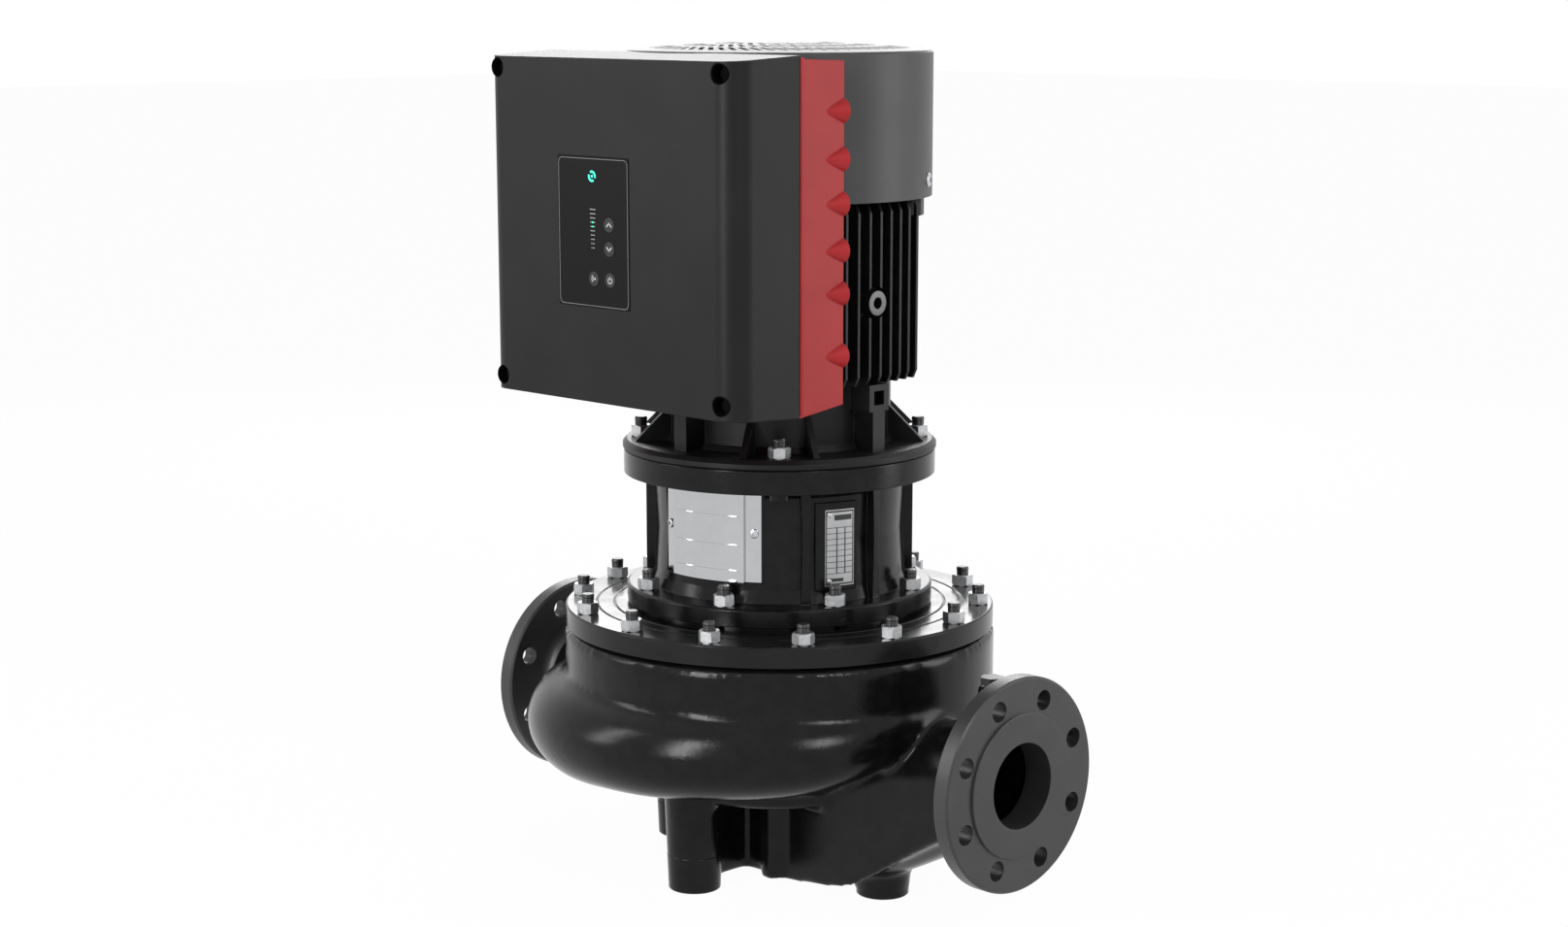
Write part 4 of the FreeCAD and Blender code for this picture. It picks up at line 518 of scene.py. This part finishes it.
CASTING_VOXEL = 3.75 * mm
CHANNEL_CORNER = -43.5 * mm
CHANNEL_FLOOR = ((0.0, 5.2 * mm), (60 * mm, 5.2 * mm), (122 * mm, 12 * mm), (150 * mm, 20 * mm))
TRIM_WIDTH = 14 * mm
TRIM_DEPTH = 30 * mm
TRIM_OVERLAP = 4 * mm


def trim_channel_corner(piece):
    """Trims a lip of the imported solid, which hangs below the feet, level with the channel's floor."""
    for near, far in zip(CHANNEL_FLOOR, CHANNEL_FLOOR[1:]):
        run, rise = far[0] - near[0], far[1] - near[1]
        slope = math.atan2(rise, run)
        deselect()
        bpy.ops.mesh.primitive_cube_add(size=1.0)
        tool = new_piece("corner_tool")
        tool.scale = (math.hypot(run, rise) + TRIM_OVERLAP, TRIM_WIDTH, TRIM_DEPTH)
        tool.rotation_euler = (0, -slope, 0)
        tool.location = ((near[0] + far[0]) / 2 + TRIM_DEPTH / 2 * math.sin(slope),
                         CHANNEL_CORNER - TRIM_WIDTH / 2,
                         (near[1] + far[1]) / 2 - TRIM_DEPTH / 2 * math.cos(slope))
        settle(tool)
        cut_with(piece, tool)


def housing_casting():
    """Copy of the housing without its flanges, remeshed and smoothed like a sand casting."""
    mesh = cad["pump_housing"].data.copy()
    piece = bpy.data.objects.new("housing_casting", mesh)
    bpy.context.scene.collection.objects.link(piece)
    outward(piece)
    for side in (1, -1):
        work_on(piece)
        bpy.ops.object.mode_set(mode="EDIT")
        bpy.ops.mesh.select_all(action="SELECT")
        bpy.ops.mesh.bisect(plane_co=(side * (FLANGE_BACK - 0.4 * mm), 0, 0), plane_no=(side, 0, 0),
                            use_fill=True, clear_outer=True)
        close_edit()
    trim_channel_corner(piece)
    apply_modifier(piece, "REMESH", mode="VOXEL", voxel_size=CASTING_VOXEL, adaptivity=0.0)
    apply_modifier(piece, "SMOOTH", factor=0.5, iterations=5)
    smooth(piece, 60.0)
    dress(piece, FINISH["cast_paint"])
    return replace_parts(piece, "pump_housing")


def port_flange(name, side, hole):
    """Turned flange with a raised face, a fillet to the neck and eight bolt holes; side is +1 or -1 on X."""
    outline = [
        (PORT_BORE, FLANGE_FACE + 2.5 * mm),
        (RAISED_FACE - 0.6 * mm, FLANGE_FACE + 2.5 * mm),
        (RAISED_FACE, FLANGE_FACE + 1.9 * mm),
        (RAISED_FACE, FLANGE_FACE),
        (FLANGE_RADIUS - 1.6 * mm, FLANGE_FACE),
        (FLANGE_RADIUS, FLANGE_FACE - 1.6 * mm),
        (FLANGE_RADIUS, FLANGE_BACK + 2.0 * mm),
        (FLANGE_RADIUS - 2.0 * mm, FLANGE_BACK),
        (NECK_RADIUS + 9.0 * mm, FLANGE_BACK),
        (NECK_RADIUS + 4.0 * mm, FLANGE_BACK - 1.6 * mm),
        (NECK_RADIUS + 1.2 * mm, FLANGE_BACK - 5.0 * mm),
        (NECK_RADIUS - 0.6 * mm, FLANGE_BACK - 10.0 * mm),
        (PORT_BORE, FLANGE_BACK - 10.0 * mm),
    ]
    piece = lathe(name, outline, 96)
    for _, place in ring_places(PORT_CIRCLE, FLANGE_BACK, PORT_HOLES, PORT_FIRST_HOLE):
        deselect()
        bpy.ops.mesh.primitive_cylinder_add(vertices=32, radius=hole, depth=60 * mm, location=place)
        cut_with(piece, bpy.context.active_object)
    rounded(piece, 0.7 * mm, 2, 40.0)
    piece.matrix_world = Matrix.Translation((0, 0, PORT_HEIGHT)) @ Matrix.Rotation(side * math.pi / 2, 4, "Y")
    settle(piece)
    smooth(outward(piece), 35.0)
    return dress(piece, FLANGE_PAINT_WITH_PAINTED_SHEEN)


def foot_ends():
    """Crisp lower ends of the four legs over the smoothed casting."""
    for name, x, y in FOOT_PLACES:
        outline = [
            (FOOT_THREAD, 0.0),
            (FOOT_RADIUS - 1.0 * mm, 0.0),
            (FOOT_RADIUS, 1.0 * mm),
            (FOOT_RADIUS + 1.3 * mm, 34 * mm),
            (FOOT_RADIUS - 1.0 * mm, 38 * mm),
            (FOOT_THREAD, 12 * mm),
        ]
        piece = lathe(name, outline, 64)
        piece.data.transform(Matrix.Translation((x, y, 0)))
        smooth(piece, 30.0)
        dress(piece, FINISH["cast_paint"])


housing_casting()
foot_ends()
port_flange("suction_flange", 1, SUCTION_HOLE)
port_flange("discharge_flange", -1, DISCHARGE_HOLE)


# Studs and nuts

def hexagon_nut():
    """Nut standing on z=0, its six corners turned down at both ends."""
    deselect()
    bpy.ops.mesh.primitive_cylinder_add(vertices=6, radius=NUT_CORNER, depth=NUT_HEIGHT,
                                        location=(0, 0, NUT_HEIGHT / 2))
    nut = settle(new_piece("nut"))
    deselect()
    bpy.ops.mesh.primitive_cylinder_add(vertices=60, radius=NUT_CORNER + 0.05 * mm, depth=NUT_HEIGHT,
                                        location=(0, 0, NUT_HEIGHT / 2))
    turned_form = settle(new_piece("nut_turned_form"))
    rounded(turned_form, 1.5 * mm, 1, 40.0)
    cut_with(nut, turned_form, "INTERSECT")
    deselect()
    bpy.ops.mesh.primitive_cylinder_add(vertices=32, radius=STUD_RADIUS + 0.05 * mm, depth=3 * NUT_HEIGHT)
    cut_with(nut, new_piece("nut_bore"))
    rounded(nut, 0.25 * mm, 1, 35.0)
    return smooth(outward(nut), 25.0)


def threaded_end():
    """Stud end standing on z=0, with ring-shaped thread crests and a chamfered tip."""
    deselect()
    bpy.ops.mesh.primitive_circle_add(vertices=32, radius=STUD_RADIUS, fill_type="NGON", location=(0, 0, 0))
    stud = new_piece("stud")
    work_on(stud)
    bpy.ops.object.mode_set(mode="EDIT")
    bpy.ops.mesh.select_all(action="SELECT")
    turns = int((NUT_HEIGHT + STUD_STAND - 1.6 * mm) / THREAD_PITCH)
    for _ in range(turns):
        for share, scale in ((0.36, 0.925), (0.14, 1.0), (0.36, 1.0 / 0.925), (0.14, 1.0)):
            bpy.ops.mesh.extrude_region_move(TRANSFORM_OT_translate={"value": (0, 0, share * THREAD_PITCH)})
            bpy.ops.transform.resize(value=(scale, scale, 1.0))
    rest = NUT_HEIGHT + STUD_STAND - turns * THREAD_PITCH
    bpy.ops.mesh.extrude_region_move(TRANSFORM_OT_translate={"value": (0, 0, 0.55 * rest)})
    bpy.ops.mesh.extrude_region_move(TRANSFORM_OT_translate={"value": (0, 0, 0.45 * rest)})
    bpy.ops.transform.resize(value=(0.84, 0.84, 1.0))
    close_edit()
    return smooth(outward(stud), 40.0)


def fastener_ring(name, template, ring, slot, replaced):
    """Copies of the template round the shaft, on a ring of (radius, height, count, first angle)."""
    pieces = [copy_to(template, angle, place) for angle, place in ring_places(*ring)]
    group = join(name, pieces)
    dress(group, FINISH[slot])
    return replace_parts(group, replaced)


nut_template = hexagon_nut()
stud_template = threaded_end()
for label, ring in (("cover", COVER_RING), ("stool", STOOL_RING), ("motor", MOTOR_RING)):
    fastener_ring(label + "_nut_set", nut_template, ring, "zinc_nut", label + "_nuts")
    fastener_ring(label + "_stud_ends", stud_template, ring, "black_stud", label + "_studs")
bpy.data.objects.remove(nut_template)
bpy.data.objects.remove(stud_template)


# Socket screws, the fan cover's lugs, the name plate's print and rivets, and the lifting boss's bare face

def socket_screw(name, radius, height):
    """Low domed head on z=0 with a hexagon socket."""
    outline = [
        (0.0, 0.0),
        (radius, 0.0),
        (radius, 0.35 * height),
        (0.88 * radius, 0.75 * height),
        (0.6 * radius, 0.97 * height),
        (0.0, height),
    ]
    head = lathe(name, outline, 40)
    deselect()
    bpy.ops.mesh.primitive_cylinder_add(vertices=6, radius=0.48 * radius, depth=1.3 * height,
                                        location=(0, 0, height))
    cut_with(head, new_piece("socket"))
    return smooth(outward(head), 30.0)


def radial_copies(name, template, seat, angles, slot, replaced):
    """Copies of an upright template turned to point away from the shaft, on a seat of (radius, height)."""
    pieces = []
    for angle in angles:
        twin = copy_to(template, 0.0, (0, 0, 0))
        lean = Matrix.Rotation(math.radians(90), 4, "Y")
        place = Matrix.Rotation(math.radians(angle), 4, "Z") @ Matrix.Translation((seat[0], 0, seat[1]))
        twin.data.transform(place @ lean)
        pieces.append(twin)
    group = join(name, pieces)
    dress(group, FINISH[slot])
    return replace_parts(group, replaced)


guard_template = socket_screw("guard_screw", 4.4 * mm, 2.6 * mm)
guard_angles = [angle + side * GUARD_SCREW_HALF for angle in GUARD_ANGLES for side in (-1, 1)]
radial_copies("guard_screw_heads", guard_template, GUARD_SCREW_SEAT, guard_angles,
              "screw_steel", "guard_screws")
bpy.data.objects.remove(guard_template)
cover_template = socket_screw("cover_screw", 6.4 * mm, 3.0 * mm)
radial_copies("cover_screw_heads", cover_template, COVER_SCREW_SEAT, COVER_SCREW_ANGLES,
              "screw_steel", "fan_cover_screws")
bpy.data.objects.remove(cover_template)


def cover_lugs():
    """Short lugs on the motor frame that the fan cover is screwed to."""
    lugs = []
    for angle in COVER_SCREW_ANGLES:
        deselect()
        bpy.ops.mesh.primitive_cube_add(size=1.0, location=(LUG_PLACE[0], 0, LUG_PLACE[1]))
        lug = new_piece("cover_lug")
        lug.scale = LUG_SIZE
        settle(lug)
        rounded(lug, 1.5 * mm, 2, 40.0)
        lug.data.transform(Matrix.Rotation(math.radians(angle), 4, "Z"))
        lugs.append(lug)
    group = join("cover_lugs", lugs)
    smooth(outward(group), 40.0)
    dress(group, FINISH["fan_cover_paint"])


cover_lugs()


def plate_bar(left, right, low, high):
    """Printed bar on the name plate; left and right are shares of its width, low and high of its height."""
    bottom = PLATE_LOW + (PLATE_HIGH - PLATE_LOW) * low
    top = PLATE_LOW + (PLATE_HIGH - PLATE_LOW) * high
    deselect()
    bpy.ops.mesh.primitive_cylinder_add(vertices=720, radius=PLATE_RADIUS + 0.03 * mm, depth=top - bottom,
                                        end_fill_type="NOTHING", location=(0, 0, (top + bottom) / 2))
    piece = settle(new_piece("plate_bar"))

    def outside(centre):
        share = (math.degrees(math.atan2(centre.y, centre.x)) - PLATE_START) / PLATE_SWEEP
        return not left < share < right

    pick_faces(piece, outside)
    bpy.ops.mesh.delete(type="FACE")
    close_edit()
    apply_modifier(piece, "SOLIDIFY", thickness=0.08 * mm, offset=1.0)
    return outward(piece)


def plate_print():
    """Dark frame, heading bar and empty fields, with no words."""
    bars = [
        plate_bar(0.02, 0.98, 0.965, 0.985),
        plate_bar(0.02, 0.98, 0.015, 0.035),
        plate_bar(0.02, 0.06, 0.015, 0.985),
        plate_bar(0.94, 0.98, 0.015, 0.985),
        plate_bar(0.30, 0.90, 0.86, 0.93),
        plate_bar(0.10, 0.62, 0.055, 0.10),
    ]
    for row in range(9):
        height = 0.16 + 0.075 * row
        bars.append(plate_bar(0.06, 0.94, height, height + 0.008))
    for column in (0.36, 0.66):
        bars.append(plate_bar(column, column + 0.04, 0.16, 0.76))
    dress(join("name_plate_print", bars), FINISH["black_screw"])


def plate_rivets():
    rivet = socket_screw("rivet", 2.2 * mm, 1.2 * mm)
    for index, height in enumerate((0.065, 0.935)):
        twin = copy_to(rivet, 0.0, (0, 0, 0))
        angle = PLATE_START + PLATE_SWEEP * 0.14
        level = PLATE_LOW + (PLATE_HIGH - PLATE_LOW) * height
        place = Matrix.Rotation(math.radians(angle), 4, "Z") @ Matrix.Translation((PLATE_RADIUS, 0, level))
        twin.data.transform(place @ Matrix.Rotation(math.radians(90), 4, "Y"))
        twin.name = "plate_rivet_%d" % (index + 1)
        dress(twin, FINISH["screw_steel"])
    bpy.data.objects.remove(rivet)


def boss_face():
    """Bare turned ring on the lifting boss."""
    ring = lathe("lifting_boss_face", [
        (5.2 * mm, -0.6 * mm),
        (11.2 * mm, -0.6 * mm),
        (11.2 * mm, 0.1 * mm),
        (10.8 * mm, 0.3 * mm),
        (5.8 * mm, 0.3 * mm),
        (5.2 * mm, -0.3 * mm),
    ], 64)
    ring.data.transform(Matrix.Translation(BOSS_FACE) @ Matrix.Rotation(math.radians(90), 4, "Y"))
    smooth(ring, 30.0)
    dress(ring, FINISH["cast_bare"])


plate_print()
plate_rivets()
boss_face()


# Painted shade: dull black cups in the cover's screw pockets

def pocket_painted_shade_cups():
    """Dull black cups on the walls and seats of the four screw pockets, which paint shade into them."""
    cups = []
    corners = [(side * POCKET_ACROSS, level) for side in (-1, 1) for level in POCKET_LEVELS]
    for x, z in corners:
        cup = lathe("pocket_painted_shade_cup", [
            (5.9 * mm, 0.2 * mm),
            (8.85 * mm, 0.2 * mm),
            (8.85 * mm, 12.2 * mm),
            (8.45 * mm, 12.2 * mm),
            (8.45 * mm, 0.7 * mm),
            (5.9 * mm, 0.7 * mm),
        ], 48)
        turned = Matrix.Rotation(math.radians(90), 4, "X")
        cup.data.transform(Matrix.Translation((x, POCKET_SEAT, z)) @ turned)
        cups.append(cup)
    group = join("pocket_painted_shade_cups", cups)
    smooth(outward(group), 30.0)
    dress(group, PAINTED_SHADE_BLACK)


pocket_painted_shade_cups()


# Ridge of the red mid-section beside the cover

def base_ridge():
    """Raised lip along the mid-section's front edge on both flanks."""
    strips = []
    for side in (-1, 1):
        deselect()
        bpy.ops.mesh.primitive_cube_add(size=1.0, location=(side * BOX_HALF, RIDGE_FRONT,
                                                            (RIDGE_LOW + RIDGE_HIGH) / 2))
        strip = new_piece("ridge")
        strip.scale = (RIDGE_STAND, RIDGE_THICKNESS, RIDGE_HIGH - RIDGE_LOW)
        settle(strip)
        strips.append(rounded(strip, 0.9 * mm, 3, 40.0))
    ridge = join("base_ridge", strips)
    smooth(outward(ridge), 40.0)
    dress(ridge, FINISH["box_base_red"])


base_ridge()


# Panel marks

def flat_mark(name, build):
    """Flat print in the XZ plane: build adds a filled outline facing -Y, which gets a little thickness."""
    deselect()
    build()
    piece = settle(new_piece(name))
    apply_modifier(piece, "SOLIDIFY", thickness=MARK_DEPTH, offset=0.0)
    return outward(piece)


def bar(width, height, x, z, front, turn=0.0):
    """Straight printed bar with softened corners."""
    def build():
        bpy.ops.mesh.primitive_plane_add(size=1.0, location=(x, front, z),
                                         rotation=(math.radians(90), math.radians(turn), 0))
        bpy.context.active_object.scale = (width, height, 1.0)
    piece = flat_mark("bar", build)
    return rounded(piece, 0.2 * min(width, height), 2, 60.0)


def ring_mark(outer, inner, x, z, front, start, sweep):
    """Printed arc, with angles measured anticlockwise from +X as seen from the front."""
    deselect()
    bpy.ops.mesh.primitive_circle_add(vertices=96, radius=outer, fill_type="NOTHING", location=(x, front, z),
                                      rotation=(math.radians(90), 0, 0))
    piece = settle(new_piece("ring_mark"))
    bpy.ops.object.mode_set(mode="EDIT")
    bpy.ops.mesh.select_mode(type="VERT")
    bpy.ops.mesh.select_all(action="SELECT")
    bpy.ops.mesh.extrude_region_move()
    bpy.ops.transform.resize(value=(inner / outer,) * 3, center_override=(x, front, z))
    close_edit()

    def outside(centre):
        angle = math.degrees(math.atan2(centre.z - z, centre.x - x))
        return (angle - start) % 360.0 > sweep

    pick_faces(piece, outside)
    bpy.ops.mesh.delete(type="FACE")
    close_edit()
    apply_modifier(piece, "SOLIDIFY", thickness=MARK_DEPTH, offset=0.0)
    return outward(piece)


def dot(radius, x, z, front):
    def build():
        bpy.ops.mesh.primitive_circle_add(vertices=28, radius=radius, fill_type="NGON",
                                          location=(x, front, z), rotation=(math.radians(90), 0, 0))
    return flat_mark("dot", build)


def panel_frame():
    """Grey line round the panel, with rounded corners."""
    width = PANEL_HIGH[0] - PANEL_LOW[0] - 2.4 * mm
    height = PANEL_HIGH[1] - PANEL_LOW[1] - 2.4 * mm
    middle_x = (PANEL_HIGH[0] + PANEL_LOW[0]) / 2
    middle_z = (PANEL_HIGH[1] + PANEL_LOW[1]) / 2
    deselect()
    bpy.ops.mesh.primitive_plane_add(size=1.0, location=(middle_x, PANEL_FRONT, middle_z),
                                     rotation=(math.radians(90), 0, 0))
    bpy.context.active_object.scale = (width, height, 1.0)
    piece = settle(new_piece("panel_frame_line"))
    bpy.ops.object.mode_set(mode="EDIT")
    bpy.ops.mesh.select_all(action="SELECT")
    bpy.ops.mesh.bevel(offset=5 * mm, segments=8, affect="VERTICES")
    bpy.ops.mesh.select_all(action="SELECT")
    bpy.ops.mesh.inset(thickness=0.55 * mm)
    bpy.ops.mesh.delete(type="FACE")
    close_edit()
    apply_modifier(piece, "SOLIDIFY", thickness=0.2 * mm, offset=0.0)
    outward(piece)
    return dress(piece, DIM_PRINT)


def level_scale():
    """Ten rows of a dash, a dot and a dash, narrower towards the bottom."""
    front = PANEL_FRONT - 0.3 * mm
    plain = []
    for row in range(LEVEL_ROWS):
        z = LEVEL_FOOT + LEVEL_PITCH * row
        reach = (0.9 + 0.19 * row) * mm
        for side in (-1, 1):
            plain.append(bar(reach, 0.7 * mm, LEVEL_COLUMN + side * (1.1 * mm + reach / 2), z, front))
        if row not in LIT_ROWS:
            plain.append(dot(0.5 * mm, LEVEL_COLUMN, z, front))
    scale = join("level_scale", plain)
    dress(scale, FINISH["pale_mark"])
    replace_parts(scale, "level_lights")
    lights = [dot(0.7 * mm, LEVEL_COLUMN, LEVEL_FOOT + LEVEL_PITCH * row, front) for row in LIT_ROWS]
    dress(join("level_dots_lit", lights), FINISH["green_light"])


def key_symbols():
    """Arrows, radio waves and power mark, each riding on its own key."""
    front = KEY_FRONT - 0.06 * mm
    for name, direction in (("up_key", 1), ("down_key", -1)):
        x, z = KEY_PLACES[name]
        arms = [bar(5.0 * mm, 1.3 * mm, x + side * 1.5 * mm, z, front, side * direction * 45.0)
                for side in (-1, 1)]
        dress(join(name + "_arrow", arms), FINISH["pale_mark"], name)
    x, z = KEY_PLACES["radio_key"]
    source = x + 1.6 * mm
    waves = [dot(1.1 * mm, source, z, front)]
    for radius in (2.6, 4.2):
        waves.append(ring_mark((radius + 0.45) * mm, (radius - 0.25) * mm, source, z, front, 135.0, 90.0))
    dress(join("radio_key_waves", waves), FINISH["pale_mark"], "radio_key")
    x, z = KEY_PLACES["power_key"]
    power = [ring_mark(3.1 * mm, 2.2 * mm, x, z - 0.3 * mm, front, 125.0, 290.0),
             bar(0.9 * mm, 3.4 * mm, x, z + 1.6 * mm, front)]
    dress(join("power_key_mark", power), FINISH["pale_mark"], "power_key")


def ring_light():
    """Lit ring in two halves with a small dot in its middle, on a dark lens."""
    front = PANEL_FRONT - 0.1 * mm
    x, z = RING_LIGHT_PLACE
    glow = [ring_mark(5.0 * mm, 3.1 * mm, x, z, front, start, 140.0) for start in (-20.0, 160.0)]
    glow.append(dot(1.2 * mm, x, z, front))
    dress(join("ring_light", glow), FINISH["green_light"])


panel_frame()
level_scale()
key_symbols()
ring_light()


# Floor, backdrop, light and camera

WORLD_LIGHT = 0.3
FLOOR_GLOW = 0.97
MIDDLE = Vector((0, 0, 0.4))
CAMERA_PLACE = Vector((1.8622, -1.8622, 0.8457))
CAMERA_AZIMUTH = 45.0
CAMERA_DIP = 11.6
LENS_LENGTH = 63.83
LENS_SHIFT = (0.0029, 0.0602)


def seen_or_mirrored(tree):
    """1 for rays from the camera and for mirrored and transmitted ones, 0 for the light on the object."""
    path = tree.nodes.new("ShaderNodeLightPath")
    last = path.outputs["Is Camera Ray"]
    for ray in ("Is Glossy Ray", "Is Transmission Ray"):
        either = tree.nodes.new("ShaderNodeMath")
        either.operation = "MAXIMUM"
        tree.links.new(last, either.inputs[0])
        tree.links.new(path.outputs[ray], either.inputs[1])
        last = either.outputs[0]
    return last


def studio_floor():
    """Pale floor that reads white to the camera and keeps a soft shadow."""
    deselect()
    bpy.ops.mesh.primitive_plane_add(size=40.0, location=(0, 0, 0))
    floor = new_piece("studio_floor")
    material = bpy.data.materials.new("pale_floor")
    material.use_nodes = True
    nodes = material.node_tree.nodes
    nodes.clear()
    output = nodes.new("ShaderNodeOutputMaterial")
    paint = nodes.new("ShaderNodeBsdfDiffuse")
    paint.inputs["Color"].default_value = (0.9, 0.9, 0.9, 1.0)
    glow = nodes.new("ShaderNodeEmission")
    glow.inputs["Color"].default_value = (1.0, 1.0, 1.0, 1.0)
    glow.inputs["Strength"].default_value = 1.0
    share = nodes.new("ShaderNodeMath")
    share.operation = "MULTIPLY"
    share.inputs[1].default_value = FLOOR_GLOW
    mix = nodes.new("ShaderNodeMixShader")
    link(material, seen_or_mirrored(material.node_tree), share.inputs[0])
    link(material, share.outputs[0], mix.inputs[0])
    link(material, paint.outputs[0], mix.inputs[1])
    link(material, glow.outputs[0], mix.inputs[2])
    link(material, mix.outputs[0], output.inputs["Surface"])
    floor.data.materials.append(material)


def white_world():
    """White to the camera and in reflections, gentler as a light."""
    world = bpy.data.worlds.new("white_studio")
    bpy.context.scene.world = world
    world.use_nodes = True
    tree = world.node_tree
    background = tree.nodes["Background"]
    background.inputs["Color"].default_value = (1.0, 1.0, 1.0, 1.0)
    level = tree.nodes.new("ShaderNodeMapRange")
    level.inputs["To Min"].default_value = WORLD_LIGHT
    level.inputs["To Max"].default_value = 1.0
    tree.links.new(seen_or_mirrored(tree), level.inputs["Value"])
    tree.links.new(level.outputs["Result"], background.inputs["Strength"])


def soft_lamp(name, place, width, height, watts):
    """Rectangular soft box that faces the middle of the object and stays out of the camera's view."""
    lamp = bpy.data.lights.new(name, "AREA")
    lamp.shape = "RECTANGLE"
    lamp.size = width
    lamp.size_y = height
    lamp.energy = watts
    holder = bpy.data.objects.new(name, lamp)
    bpy.context.scene.collection.objects.link(holder)
    holder.location = place
    holder.visible_camera = False
    holder.rotation_euler = (MIDDLE - Vector(place)).to_track_quat("-Z", "Y").to_euler()


def photo_camera():
    """Camera at the photograph's angle, a little above the object's middle."""
    lens = bpy.data.cameras.new("camera")
    lens.lens = LENS_LENGTH
    lens.sensor_width = 36.0
    lens.shift_x, lens.shift_y = LENS_SHIFT
    lens.clip_start = 0.1
    lens.clip_end = 100.0
    camera = bpy.data.objects.new("camera", lens)
    bpy.context.scene.collection.objects.link(camera)
    azimuth = math.radians(CAMERA_AZIMUTH)
    dip = math.radians(CAMERA_DIP)
    camera.location = CAMERA_PLACE
    forward = Vector((-math.sin(azimuth) * math.cos(dip), math.cos(azimuth) * math.cos(dip), -math.sin(dip)))
    camera.rotation_mode = "QUATERNION"
    camera.rotation_quaternion = forward.to_track_quat("-Z", "Y")
    bpy.context.scene.camera = camera


studio_floor()
white_world()
soft_lamp("key_right", (2.3, -0.7, 1.7), 0.45, 0.9, 20.0)
soft_lamp("strip_front", (0.15, -1.9, 1.0), 0.2, 1.3, 26.0)
soft_lamp("fill_left", (-1.7, -2.0, 1.3), 0.3, 1.6, 18.0)
soft_lamp("strip_right", (1.7, 1.5, 1.0), 0.6, 2.0, 20.0)
soft_lamp("back_top", (-2.2, 2.2, 1.5), 2.4, 1.2, 40.0)
photo_camera()
bpy.context.scene.view_settings.view_transform = "Standard"
